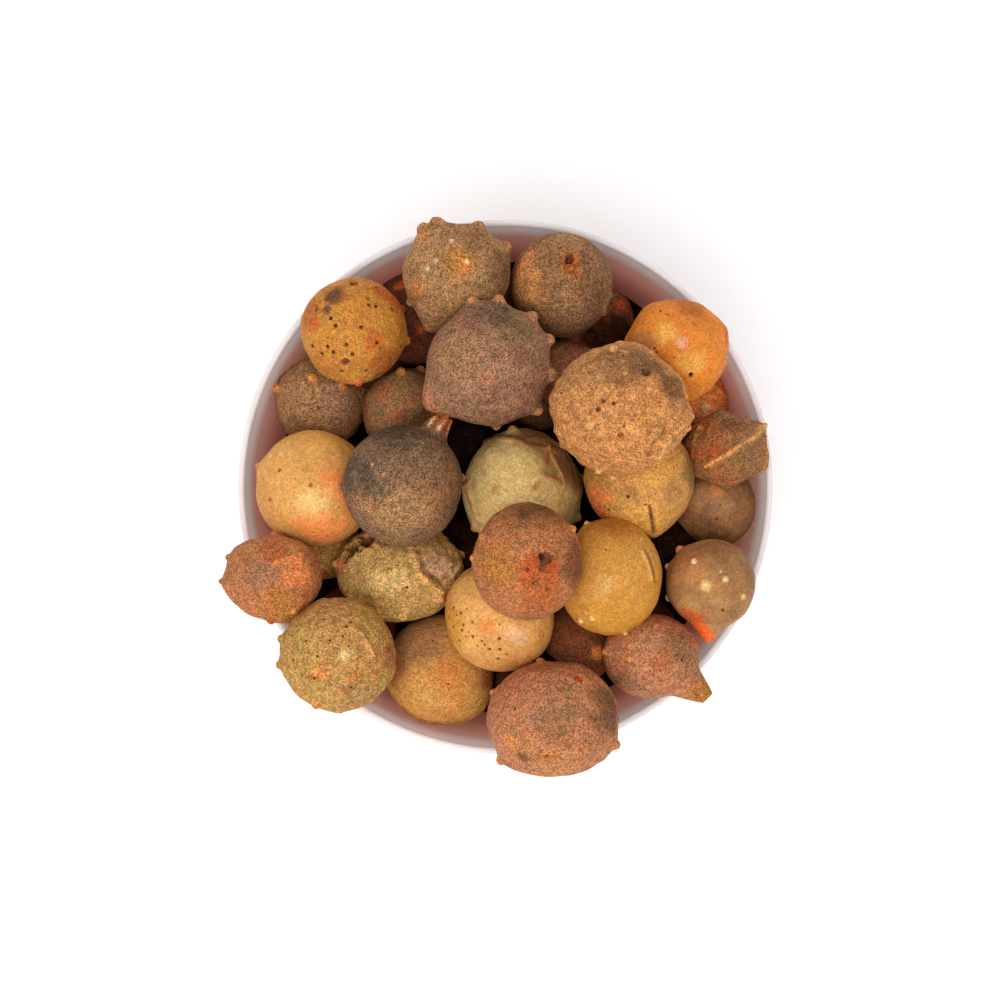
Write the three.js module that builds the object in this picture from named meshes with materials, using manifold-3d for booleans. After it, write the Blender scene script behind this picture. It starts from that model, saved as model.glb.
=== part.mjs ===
// A small white bowl heaped with dried oak galls, in millimetres, +Z up.
// The origin is the centre of the foot's underside, on the surface the bowl stands on.

import * as THREE from 'three';
import { mergeVertices } from 'three/addons/utils/BufferGeometryUtils.js';
import Module from 'manifold-3d';

const wasm = await Module();
wasm.setup();

// ---------------------------------------------------------------- driving dimensions

const BOWL = {
  height: 42.0,
  outerRadius: 48.2,
  lipThickness: 2.0,
  floorTop: 6.0,
  underside: 2.6,
  wallPower: 2.2, // 2 is a round wall, more is steeper with a flatter floor
  footRadius: 22.0,
  footEdge: 0.6,
  sides: 60,
  wallSteps: 9,
  lipSteps: 4,
  restWallSteps: 90, // finer steps of the wall and lip, to find where a gall touches them
  restLipSteps: 8,
};

const HEAP = {
  coreTop: 29.0, // the fill under the galls, at the middle
  coreFall: 3.0, // how much lower it lies at coreReach
  coreReach: 40.0,
  coreSides: 24,
  coreTopSteps: 4,
  gap: 0.4, // between the heap and the glaze
  sink: 1.0, // how far two galls press into each other
  slump: 0.95, // a stacked gall settles this much lower than a hard ball would
  coreHold: 0.5, // share of its radius by which a gall stands over the core
};

const GALL = {
  largeFrom: 21.0, // mm across, from where a gall has more sides
  largeDetail: 3, // 320 triangles
  detail: 2, // 180 triangles
  hiddenDetail: 1, // 80 triangles
  facetFit: 1.008, // corners stand proud so that the flats average out at the true size
  lump: 0.008, // height of the low swells, in radii
  swellPace: [3, 4], // how fast the swells follow each other along X and along Y
  knobOut: 1.1,
  knobBase: 1.35,
  knobTip: 0.55,
  knobSides: 4,
  stalkSides: 6,
  root: 0.88, // a knob or stalk starts this far out from the centre, in radii
};

const GLAZE = { color: 0xf3edf0, roughness: 0.25 };
const SKIN = { color: 0x8a6a40, roughness: 0.8 };
const SAME_CORNER = 1e-4; // corners closer than this are one

const LIP_RADIUS = BOWL.lipThickness / 2;
const LIP_Z = BOWL.height - LIP_RADIUS;
const INNER_RADIUS = BOWL.outerRadius - BOWL.lipThickness;
const LIP_CENTRE = BOWL.outerRadius - LIP_RADIUS;

// The galls that show, from the lowest up: each is laid on those before it. `at` is the centre
// in plan and `across` the mean diameter. `knobs` are the small horns, each given by how far
// right and up it stands in plan, in radii of its gall. `stalk` is [right, up, out, base, tip],
// the last three in mm.
const LAID = [
  { name: 'bed_south', at: [-7.2, -11.1], across: 12.4, hidden: true },
  { name: 'bed_west', at: [-8.3, 8.9], across: 12.4, hidden: true },
  {
    name: 'brown_ridged', at: [-33.5, 15.5], across: 16.8,
    knobs: [[-0.95, 0.3], [-0.17, 0.48], [0.43, 0.35], [0.94, 0.33]],
  },
  { name: 'taupe_smooth', at: [37.4, -3.3], across: 16.0 },
  { name: 'rust_tucked', at: [33.7, 15.5], across: 13.9 },
  { name: 'russet_spurred', at: [-18.4, 13.6], across: 15.2, knobs: [[0, 0.9], [0.38, 0.9]] },
  { name: 'amber_mottled', at: [-12.1, -33.0], across: 20.1 },
  { name: 'green_veined', at: [3.0, -0.5], across: 21.4, knobs: [[-0.15, 0.95], [0.86, -0.5]] },
  { name: 'ochre_split', at: [23.9, 1.3], across: 19.8, knobs: [[0.27, -0.93]] },
  { name: 'apricot_smooth', at: [-34.3, -0.4], across: 21.0, knobs: [[-0.9, 0.41]] },
  {
    name: 'khaki_broken', at: [-19.0, -15.3], across: 19.9, stretch: [1.12, 0.91],
    knobs: [[-0.95, 0.22], [-0.71, -0.44], [-0.31, -0.78], [0.07, -0.75], [0.6, -0.47]],
  },
  { name: 'straw_pricked', at: [-1.0, -23.0], across: 20.1 },
  {
    name: 'star_ridged', at: [39.8, 6.8], across: 12.9, stretch: [1.05, 0.97],
    knobs: [[-0.7, 0.65], [-0.95, 0.06], [-0.06, -0.95], [-0.22, 0.95]],
  },
  { name: 'orange_faceted', at: [30.7, 24.5], across: 18.2 },
  {
    name: 'plum_beaked', at: [26.0, -30.2], across: 16.1, stretch: [1.08, 0.93],
    knobs: [[-0.91, 0.16], [-0.49, -0.02]], stalk: [1.11, -0.96, 4.4, 3.0, 1.6],
  },
  {
    name: 'mustard_plain', at: [18.6, -16.0], across: 19.2, stretch: [0.96, 1.07],
    knobs: [[-0.41, 0.85]],
  },
  {
    name: 'olive_beaked', at: [36.7, -17.3], across: 15.9,
    knobs: [[-0.65, 0.72], [-0.4, 0.52], [0.27, 0.11], [0.65, -0.27]],
    stalk: [-0.07, -1.33, 2.6, 2.6, 0.5],
  },
  {
    name: 'mauve_edge', at: [-41.3, -16.3], across: 16.3, stretch: [1.03, 0.92],
    knobs: [[0.55, 0.53], [0.22, 0.44], [-0.92, 0.3], [-0.68, -0.55], [-0.02, -0.9]],
  },
  {
    name: 'khaki_warty', at: [-29.7, -29.8], across: 20.3,
    knobs: [[-0.93, 0.26], [-0.95, -0.14], [-0.33, -0.78], [0.31, 0.26], [0.64, -0.05]],
  },
  { name: 'yellow_speckled', at: [-27.2, 27.9], across: 18.8, knobs: [[0.96, -0.17], [0.14, -0.91]] },
  { name: 'open_crown', at: [10.1, 36.2], across: 18.5 },
  {
    name: 'olive_knobbed', at: [-8.8, 38.1], across: 18.6, stretch: [1.02, 0.93],
    knobs: [[-0.33, 0.92], [0.4, 0.9], [0.83, 0.55], [-0.12, 0.6], [-0.37, 0.23], [0.21, 0.19]],
    stalk: [-0.5, -1.21, 2.9, 4.0, 1.2],
  },
  {
    name: 'plum_broad', at: [8.4, -41.2], across: 21.7, stretch: [1.06, 0.97],
    knobs: [[-0.75, -0.64], [0.9, -0.38], [-0.86, 0.45]],
  },
  {
    name: 'violet_spurred', at: [-3.3, 21.4], across: 21.1,
    knobs: [[-0.22, 0.95], [0.17, 0.96], [0.62, 0.75], [0.92, 0.36], [0.95, -0.16], [0.74, -0.64]],
    stalk: [-1.06, -0.69, 2.8, 4.2, 1.2],
  },
  { name: 'tan_warty', at: [19.8, 13.4], across: 23.3, stretch: [1.04, 0.97] },
  { name: 'slate_stalked', at: [-18.2, 0.3], across: 21.2, stalk: [0.62, 1.03, 3.6, 2.2, 1.6] },
  {
    name: 'red_scarred', at: [3.8, -13.2], across: 20.0, stretch: [0.97, 1.03],
    knobs: [[-0.95, 0.07], [-0.81, 0.44]],
  },
];

// The galls below them, which show only in the gaps: centre and diameter.
const TUCKED = [
  { name: 'under_north', at: [-16.6, 30.6, 35.8], across: 16.8 },
  { name: 'under_north_west', at: [-25.0, 23.5, 34.5], across: 13.2 },
  { name: 'under_crown', at: [1.2, 29.5, 34.6], across: 16.4 },
  { name: 'under_north_east', at: [16.5, 30.0, 34.8], across: 13.6 },
  { name: 'under_violet', at: [6.0, 14.8, 34.0], across: 9.0 },
  { name: 'under_tan', at: [12.0, 20.0, 34.5], across: 14.8 },
  { name: 'under_orange', at: [28.0, 22.5, 36.0], across: 14.0 },
  { name: 'under_star', at: [35.5, 6.5, 36.5], across: 10.8 },
  { name: 'under_mustard', at: [28.0, -11.8, 36.4], across: 16.2 },
  { name: 'under_beak', at: [24.0, -27.0, 34.0], across: 15.6 },
  { name: 'under_south_east', at: [13.0, -28.0, 36.2], across: 14.8 },
  { name: 'under_south', at: [5.5, -35.5, 37.0], across: 14.8 },
  { name: 'under_south_west', at: [-27.5, -25.3, 36.0], across: 15.2 },
  { name: 'under_west', at: [-33.5, -9.8, 31.0], across: 14.0 },
];

// ---------------------------------------------------------------- solids and meshes

// A closed geometry as a solid: shared corners merged, collapsed triangles dropped.
function solidOf(geometry) {
  geometry.deleteAttribute('normal');
  geometry.deleteAttribute('uv');
  const merged = mergeVertices(geometry, SAME_CORNER);
  const corners = merged.index.array;
  const kept = [];
  for (let i = 0; i < corners.length; i += 3) {
    const [a, b, c] = [corners[i], corners[i + 1], corners[i + 2]];
    if (a !== b && b !== c && c !== a) {
      kept.push(a, b, c);
    }
  }
  return new wasm.Manifold(new wasm.Mesh({
    numProp: 3,
    vertProperties: new Float32Array(merged.attributes.position.array),
    triVerts: new Uint32Array(kept),
  }));
}

function geometryOf(solid) {
  const mesh = solid.getMesh();
  const geometry = new THREE.BufferGeometry();
  geometry.setAttribute('position', new THREE.BufferAttribute(mesh.vertProperties, 3));
  geometry.setIndex(new THREE.BufferAttribute(mesh.triVerts, 1));
  return geometry;
}

function namedMesh(name, solid, finish) {
  const material = new THREE.MeshStandardMaterial({ ...finish, metalness: 0 });
  const mesh = new THREE.Mesh(geometryOf(solid), material);
  mesh.name = name;
  return mesh;
}

// Turns a profile of [radius, height] points, which starts and ends on the axis.
function turned(profile, sides) {
  const points = profile.map(([radius, height]) => new THREE.Vector2(radius, height));
  return new THREE.LatheGeometry(points, sides).rotateX(Math.PI / 2);
}

// ---------------------------------------------------------------- bowl

// A wall from just under the lip, where it is upright, to the axis at `bottom`.
function wallProfile(radius, bottom, steps) {
  const points = [];
  for (let i = 0; i <= steps; i += 1) {
    const angle = (i / steps) * (Math.PI / 2);
    const share = 2 / BOWL.wallPower;
    points.push([
      i === steps ? 0 : radius * Math.cos(angle) ** share,
      LIP_Z - (LIP_Z - bottom) * Math.sin(angle) ** share,
    ]);
  }
  return points;
}

// The rounded lip, from the inner wall over to the outer one.
function lipProfile(steps) {
  const points = [];
  for (let i = 1; i < steps; i += 1) {
    const angle = Math.PI - (i / steps) * Math.PI;
    points.push([LIP_CENTRE + LIP_RADIUS * Math.cos(angle), LIP_Z + LIP_RADIUS * Math.sin(angle)]);
  }
  return points;
}

function bowlSolid() {
  const foot = [
    [0, 0],
    [BOWL.footRadius - BOWL.footEdge, 0],
    [BOWL.footRadius, BOWL.footEdge],
  ];
  const outside = wallProfile(BOWL.outerRadius, BOWL.underside, BOWL.wallSteps)
    .filter(([radius]) => radius > BOWL.footRadius)
    .reverse();
  const footTop = [BOWL.footRadius, outside[0][1] - BOWL.footEdge];
  const lip = lipProfile(BOWL.lipSteps).reverse();
  const inside = wallProfile(INNER_RADIUS, BOWL.floorTop, BOWL.wallSteps);
  return solidOf(turned([...foot, footTop, ...outside, ...lip, ...inside], BOWL.sides));
}

// ---------------------------------------------------------------- where each gall lies

function coreTopAt(reach) {
  return HEAP.coreTop - HEAP.coreFall * (reach / HEAP.coreReach) ** 2;
}

// The lowest height at which a ball of this radius clears the inner wall and the lip.
function heightOnBowl(reach, radius) {
  const clear = radius + HEAP.gap;
  const wall = wallProfile(INNER_RADIUS, BOWL.floorTop, BOWL.restWallSteps);
  const edge = [...wall, ...lipProfile(BOWL.restLipSteps)];
  const touched = edge.filter(([edgeRadius]) => Math.abs(reach - edgeRadius) < clear);
  return Math.max(...touched.map(([edgeRadius, edgeZ]) => (
    edgeZ + Math.sqrt(clear ** 2 - (reach - edgeRadius) ** 2))));
}

// Lets each gall down until it meets the core, the bowl or a gall laid before it.
function layGalls() {
  const laid = [];
  for (const gall of LAID) {
    const [x, y] = gall.at;
    const radius = gall.across / 2;
    const reach = Math.hypot(x, y);
    let z = Math.max(coreTopAt(reach) + HEAP.coreHold * radius, heightOnBowl(reach, radius));
    for (const below of laid) {
      const aside = Math.hypot(x - below.centre.x, y - below.centre.y);
      const touch = radius + below.radius - HEAP.sink;
      if (aside < touch) {
        z = Math.max(z, below.centre.z + HEAP.slump * Math.sqrt(touch ** 2 - aside ** 2));
      }
    }
    laid.push({ ...gall, radius, centre: new THREE.Vector3(x, y, z) });
  }
  const tucked = TUCKED.map((gall) => (
    { ...gall, hidden: true, radius: gall.across / 2, centre: new THREE.Vector3(...gall.at) }));
  return [...laid, ...tucked];
}

// ---------------------------------------------------------------- the heap

// The direction that stands `right` and `up` of the centre in plan, on the upper side.
function directionOf(right, up) {
  const level = Math.min(right ** 2 + up ** 2, 1);
  return new THREE.Vector3(right, up, Math.sqrt(1 - level)).normalize();
}

function detailOf(gall) {
  if (gall.hidden) {
    return GALL.hiddenDetail;
  }
  return gall.across >= GALL.largeFrom ? GALL.largeDetail : GALL.detail;
}

// A ball with low swells, no two alike, because each takes its phase from where it lies.
function gallBody(gall) {
  const [stretchX, stretchY] = gall.stretch ?? [1, 1];
  const [paceX, paceY] = GALL.swellPace;
  const geometry = new THREE.IcosahedronGeometry(1, detailOf(gall));
  const place = geometry.attributes.position;
  const corner = new THREE.Vector3();
  const phase = gall.centre.x + gall.centre.y;
  for (let i = 0; i < place.count; i += 1) {
    corner.fromBufferAttribute(place, i);
    const swell = Math.sin(paceX * corner.x + phase) + Math.sin(paceY * corner.y - phase);
    const size = gall.radius * GALL.facetFit * (1 + GALL.lump * swell);
    corner.set(corner.x * size * stretchX, corner.y * size * stretchY, corner.z * size);
    place.setXYZ(i, corner.x, corner.y, corner.z);
  }
  geometry.translate(gall.centre.x, gall.centre.y, gall.centre.z);
  return solidOf(geometry);
}

// A blunt horn along a direction, rooted inside its gall.
function horn(gall, direction, out, base, tip, sides) {
  const root = gall.radius * GALL.root;
  const length = gall.radius - root + out;
  const geometry = new THREE.CylinderGeometry(tip, base, length, sides);
  const upright = new THREE.Vector3(0, 1, 0);
  geometry.translate(0, root + length / 2, 0);
  geometry.applyQuaternion(new THREE.Quaternion().setFromUnitVectors(upright, direction));
  geometry.translate(gall.centre.x, gall.centre.y, gall.centre.z);
  return solidOf(geometry);
}

// A horn whose tip would reach the bowl's wall or lip is skipped.
function clearsBowl(gall, direction, out) {
  const tip = direction.clone().multiplyScalar(gall.radius + out).add(gall.centre);
  return tip.z > BOWL.height + GALL.knobBase || Math.hypot(tip.x, tip.y) < INNER_RADIUS - GALL.knobBase;
}

function gallSolid(gall) {
  let solid = gallBody(gall);
  for (const [right, up] of gall.knobs ?? []) {
    const direction = directionOf(right, up);
    if (clearsBowl(gall, direction, GALL.knobOut)) {
      solid = solid.add(
        horn(gall, direction, GALL.knobOut, GALL.knobBase, GALL.knobTip, GALL.knobSides));
    }
  }
  if (gall.stalk) {
    const [right, up, out, base, tip] = gall.stalk;
    solid = solid.add(horn(gall, directionOf(right, up), out, base, tip, GALL.stalkSides));
  }
  return solid;
}

// The fill that the galls lie on, a gap inside the bowl.
function coreSolid() {
  const rimZ = coreTopAt(INNER_RADIUS);
  const side = wallProfile(INNER_RADIUS - HEAP.gap, BOWL.floorTop + HEAP.gap, BOWL.wallSteps)
    .filter(([, height]) => height < rimZ)
    .reverse();
  const widest = side[side.length - 1][0];
  const top = [];
  for (let i = 1; i <= HEAP.coreTopSteps; i += 1) {
    const reach = widest * (1 - i / HEAP.coreTopSteps);
    top.push([reach, coreTopAt(reach)]);
  }
  return solidOf(turned([...side, ...top], HEAP.coreSides));
}

// One body: what fusing seals off inside is filled, and nothing is left loose.
function heapSolid() {
  let heap = coreSolid();
  for (const gall of layGalls()) {
    heap = heap.add(gallSolid(gall));
  }
  const bodies = heap.decompose();
  return bodies.reduce((best, body) => (body.volume() > best.volume() ? body : best));
}

// ---------------------------------------------------------------- the part

const part = new THREE.Group();
part.add(namedMesh('bowl', bowlSolid(), GLAZE));
part.add(namedMesh('gall_heap', heapSolid(), SKIN));

export default part;
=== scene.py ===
"""A small white glazed bowl heaped with dried oak galls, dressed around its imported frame.

Sizes are written in millimetres and turned into metres where a mesh is made. The picture looks
straight down: +X is its right and +Y its top. A place on a gall is given as (right, up), in
radii of that gall from its centre, as it is seen from above.
"""

import logging
import math
from dataclasses import dataclass, field
from enum import Enum

import bmesh
import bpy
import numpy as np
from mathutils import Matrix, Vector


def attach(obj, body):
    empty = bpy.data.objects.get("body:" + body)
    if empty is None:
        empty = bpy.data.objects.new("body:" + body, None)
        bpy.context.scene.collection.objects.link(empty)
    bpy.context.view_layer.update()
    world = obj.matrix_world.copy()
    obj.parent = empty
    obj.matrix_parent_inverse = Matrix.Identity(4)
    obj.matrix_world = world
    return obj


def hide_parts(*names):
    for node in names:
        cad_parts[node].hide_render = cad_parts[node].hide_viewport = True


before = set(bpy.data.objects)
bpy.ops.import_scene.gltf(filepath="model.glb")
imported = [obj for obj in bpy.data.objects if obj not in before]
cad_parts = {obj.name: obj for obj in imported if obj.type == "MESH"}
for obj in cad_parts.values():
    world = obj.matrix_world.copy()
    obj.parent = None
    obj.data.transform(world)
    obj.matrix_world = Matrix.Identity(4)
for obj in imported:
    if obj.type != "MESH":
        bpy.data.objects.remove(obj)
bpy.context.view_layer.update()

log = logging.getLogger("bowl_of_galls")

MM = 0.001
BODY = "root"


class Slot(Enum):
    """The record's material slots."""

    GLAZE = "white_glaze"
    SKIN = "gall_skin"


class Node(Enum):
    """The frame's nodes that the pieces stand for."""

    BOWL = "bowl"
    HEAP = "gall_heap"


class Tone(Enum):
    """The colours of gall skin and glaze, as sRGB."""

    SOOT = "150702"
    LOAM = "54260f"
    CINDER = "4b3b2e"
    BARK = "563821"
    WINE = "5f3122"
    SLATE = "785a42"
    OLIVE = "6e5a36"
    UMBER = "7e5636"
    TAUPE = "8a603c"
    RUSSET = "88482a"
    CORK = "966c46"
    HEATHER = "7c4c3e"
    MAUVE = "93694e"
    PLUM = "b2724f"
    TAN = "b87d4b"
    DRIFT = "a67c58"
    KHAKI = "be9656"
    SAND = "f0ce84"
    OCHRE = "c7904a"
    AMBER = "b07533"
    GOLD = "bc7f31"
    MUSTARD = "c88b36"
    STRAW = "e2a75e"
    APRICOT = "d59c54"
    ORANGE = "c97b38"
    RUST = "ab5828"
    EMBER = "bc4c20"
    COPPER = "ae6c42"
    SADDLE = "aa6b24"
    FLAME = "f08a48"
    SCARLET = "ea5a22"
    TANGERINE = "dc8230"
    HONEY = "ecb054"
    FAWN = "c4824a"
    BRASS = "b48c4a"
    SHELL = "cc9c78"
    DUN = "a2764c"
    BRICK = "a8461c"
    CREAM = "e8c48c"
    PORCELAIN = "f1dade"
    BLUSH = "ecd0cc"
    ROSE = "f3dcd8"
    CLAY = "dfaea2"
    # Brown painted shade for the deep inner wall of the bowl.
    WALL_SHADE = "a4786a"
    BISQUE = "dcd2c6"

    def linear(self) -> tuple[float, float, float]:
        """Returns the colour as linear red, green and blue."""
        parts = (int(self.value[i : i + 2], 16) / 255 for i in (0, 2, 4))
        return tuple(p / 12.92 if p <= 0.04045 else ((p + 0.055) / 1.055) ** 2.4 for p in parts)

    def rgba(self) -> tuple[float, float, float, float]:
        """Returns the linear colour with a full alpha."""
        return (*self.linear(), 1.0)


# ---------------------------------------------------------------- shader nodes


class Graph:
    """Places and joins the nodes of one material or one shader group."""

    def __init__(self, tree: bpy.types.NodeTree) -> None:
        """Starts on a node tree.

        Args:
            tree: the material's or the group's tree.
        """
        self.tree = tree

    def node(self, kind: str, inputs: dict | None = None, **options: object) -> bpy.types.Node:
        """Adds one node.

        Args:
            kind: its type, without the ShaderNode in front.
            inputs: a socket to link or a value to set, by input name or number.
            options: the node's own settings.

        Returns:
            The new node.
        """
        made = self.tree.nodes.new("ShaderNode" + kind)
        for name, value in options.items():
            setattr(made, name, value)
        for name, value in (inputs or {}).items():
            self.feed(made.inputs[name], value)
        return made

    def feed(self, socket: bpy.types.NodeSocket, value: object) -> None:
        """Links a socket to an input, or sets the input's value."""
        if isinstance(value, bpy.types.NodeSocket):
            self.tree.links.new(value, socket)
        else:
            socket.default_value = value

    def mix(self, factor: object, low: object, high: object, blend: str = "MIX") -> bpy.types.NodeSocket:
        """Mixes two colours.

        Args:
            factor: the share of the second colour.
            low: the first colour.
            high: the second colour.
            blend: how the second colour is laid on the first.

        Returns:
            The mixed colour.
        """
        made = self.tree.nodes.new("ShaderNodeMix")
        made.data_type = "RGBA"
        made.blend_type = blend
        self.feed(made.inputs[0], factor)
        self.feed(made.inputs[6], low)
        self.feed(made.inputs[7], high)
        return made.outputs[2]

    def maths(self, operation: str, first: object, second: object = 0.0) -> bpy.types.NodeSocket:
        """Returns the result of one Math node."""
        return self.node("Math", {0: first, 1: second}, operation=operation).outputs[0]

    def vector(self, operation: str, first: object, second: object) -> bpy.types.NodeSocket:
        """Returns the result of one Vector Math node."""
        return self.node("VectorMath", {0: first, 1: second}, operation=operation).outputs[0]

    def scaled(self, value: object, scale: object) -> bpy.types.NodeSocket:
        """Returns a vector times a number."""
        return self.node("VectorMath", {0: value, "Scale": scale}, operation="SCALE").outputs[0]

    def bump(self, height: object, depth_mm: float) -> bpy.types.NodeSocket:
        """Returns the normal of a relief whose height runs from 0 to 1, over so many mm."""
        values = {"Height": height, "Distance": depth_mm * MM, "Strength": 1.0}
        return self.node("Bump", values).outputs["Normal"]

    def ramp(
        self, value: object, start: float, end: float, low: float = 0.0, high: float = 1.0
    ) -> bpy.types.NodeSocket:
        """Turns a value into a smooth step.

        Args:
            value: what is read.
            start: the value at which the step begins.
            end: the value at which it is over.
            low: what comes out before it.
            high: what comes out after it.

        Returns:
            The stepped value.
        """
        made = self.node(
            "MapRange",
            {"Value": value, "From Min": start, "From Max": end, "To Min": low, "To Max": high},
            interpolation_type="SMOOTHSTEP",
        )
        return made.outputs["Result"]


def shader_group(name: str, inputs: dict[str, tuple[str, float]], outputs: dict[str, str]) -> tuple:
    """Starts a shader group.

    Args:
        name: the group's name.
        inputs: the kind of socket and its default, by name.
        outputs: the kind of socket, by name.

    Returns:
        The group's tree, its graph, the node of its inputs and the node of its outputs.
    """
    tree = bpy.data.node_groups.new(name, "ShaderNodeTree")
    for label, (kind, default) in inputs.items():
        socket = tree.interface.new_socket(name=label, in_out="INPUT", socket_type=kind)
        if kind == "NodeSocketFloat":
            socket.default_value = default
    for label, kind in outputs.items():
        tree.interface.new_socket(name=label, in_out="OUTPUT", socket_type=kind)
    graph = Graph(tree)
    return tree, graph, tree.nodes.new("NodeGroupInput"), tree.nodes.new("NodeGroupOutput")


GRAIN_WIDE_SCALE = 0.31
GRAIN_HUE_SCALE = 0.62
GRAIN_FINE_SHARE = 0.72
GRAIN_STEP = (0.36, 0.64)
HUE_SPREAD = 3.0
MIDDLE_GREY = (0.5, 0.5, 0.5)
WHITE = (1.0, 1.0, 1.0)
MOTTLE_STEP = (0.46, 0.66)
MOTTLE_TURNS = {"Warm": 0.0, "Dark": 3.7}
PORE_REACH = (0.1, 0.16)
PORE_EDGE = 0.07


def grain_group() -> bpy.types.NodeTree:
    """Builds the felt-like grain of a dry skin: fine grains, each a little off the others in hue.

    Returns:
        The group. Shade is around white and multiplies a colour, and Height runs from 0 to 1.
    """
    tree, graph, given, gives = shader_group(
        "felt_grain",
        {
            "Vector": ("NodeSocketVector", 0.0),
            "Fineness": ("NodeSocketFloat", 3000.0),
            "Contrast": ("NodeSocketFloat", 0.2),
            "Hue": ("NodeSocketFloat", 0.2),
        },
        {"Shade": "NodeSocketColor", "Height": "NodeSocketFloat"},
    )
    place, fineness = given.outputs["Vector"], given.outputs["Fineness"]
    fine = graph.node("TexNoise", {"Vector": place, "Scale": fineness, "Detail": 1.0, "Roughness": 0.5})
    wide_scale = graph.maths("MULTIPLY", fineness, GRAIN_WIDE_SCALE)
    wide = graph.node("TexNoise", {"Vector": place, "Scale": wide_scale, "Detail": 1.0, "Roughness": 0.5})
    both = graph.maths("MULTIPLY_ADD", fine.outputs["Fac"], GRAIN_FINE_SHARE)
    graph.feed(both.node.inputs[2], graph.maths("MULTIPLY", wide.outputs["Fac"], 1 - GRAIN_FINE_SHARE))
    height = graph.ramp(both, *GRAIN_STEP)
    swing = graph.maths("MULTIPLY", graph.maths("SUBTRACT", height, 0.5), 2.0)
    bright = graph.maths("ADD", graph.maths("MULTIPLY", swing, given.outputs["Contrast"]), 1.0)
    off_scale = graph.maths("MULTIPLY", fineness, GRAIN_HUE_SCALE)
    off = graph.node("TexNoise", {"Vector": place, "Scale": off_scale, "Detail": 2.0, "Roughness": 0.6})
    centred = graph.vector("SUBTRACT", off.outputs["Color"], MIDDLE_GREY)
    tinted = graph.scaled(graph.scaled(centred, HUE_SPREAD), given.outputs["Hue"])
    shade = graph.scaled(graph.vector("ADD", tinted, WHITE), bright)
    graph.feed(gives.inputs["Shade"], shade)
    graph.feed(gives.inputs["Height"], height)
    return tree


def mottle_group() -> bpy.types.NodeTree:
    """Builds two sets of soft uneven patches that lie beside each other.

    Returns:
        The group, with the masks Warm and Dark.
    """
    tree, graph, given, gives = shader_group(
        "mottle",
        {
            "Vector": ("NodeSocketVector", 0.0),
            "Fineness": ("NodeSocketFloat", 500.0),
            "Swirl": ("NodeSocketFloat", 0.0),
        },
        {"Warm": "NodeSocketFloat", "Dark": "NodeSocketFloat"},
    )
    for label, turn in MOTTLE_TURNS.items():
        moved = graph.node("Mapping", {"Vector": given.outputs["Vector"], "Location": (turn, -turn, turn)})
        cloud = graph.node(
            "TexNoise",
            {
                "Vector": moved.outputs[0],
                "Scale": given.outputs["Fineness"],
                "Detail": 4.0,
                "Roughness": 0.62,
                "Distortion": given.outputs["Swirl"],
            },
        )
        graph.feed(gives.inputs[label], graph.ramp(cloud.outputs["Fac"], *MOTTLE_STEP))
    return tree


def pore_group() -> bpy.types.NodeTree:
    """Builds scattered small round spots, for dark pores and for pale flecks.

    Returns:
        The group. Mask is 1 inside a spot, and Share says how many of the places hold one.
    """
    tree, graph, given, gives = shader_group(
        "pores",
        {
            "Vector": ("NodeSocketVector", 0.0),
            "Fineness": ("NodeSocketFloat", 800.0),
            "Share": ("NodeSocketFloat", 0.2),
        },
        {"Mask": "NodeSocketFloat"},
    )
    cells = graph.node("TexVoronoi", {"Vector": given.outputs["Vector"], "Scale": given.outputs["Fineness"]})
    split = graph.node("SeparateColor", {0: cells.outputs["Color"]})
    least, more = PORE_REACH
    reach = graph.maths("MULTIPLY_ADD", split.outputs[1], more)
    reach.node.inputs[2].default_value = least
    inside = graph.maths("SUBTRACT", reach, cells.outputs["Distance"])
    spot = graph.ramp(inside, 0.0, PORE_EDGE)
    held = graph.maths("LESS_THAN", split.outputs[0], given.outputs["Share"])
    graph.feed(gives.inputs["Mask"], graph.maths("MULTIPLY", spot, held))
    return tree


@dataclass
class Effects:
    """The shader groups that the finishes share, each built once."""

    grain: bpy.types.NodeTree = field(default_factory=grain_group)
    mottle: bpy.types.NodeTree = field(default_factory=mottle_group)
    pores: bpy.types.NodeTree = field(default_factory=pore_group)


def new_material(name: str) -> tuple[bpy.types.Material, Graph, bpy.types.Node]:
    """Starts a material that holds one Principled shader.

    Args:
        name: the material's name.

    Returns:
        The material, its graph and its shader.
    """
    made = bpy.data.materials.new(name)
    made.use_nodes = True
    return made, Graph(made.node_tree), made.node_tree.nodes["Principled BSDF"]


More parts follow.
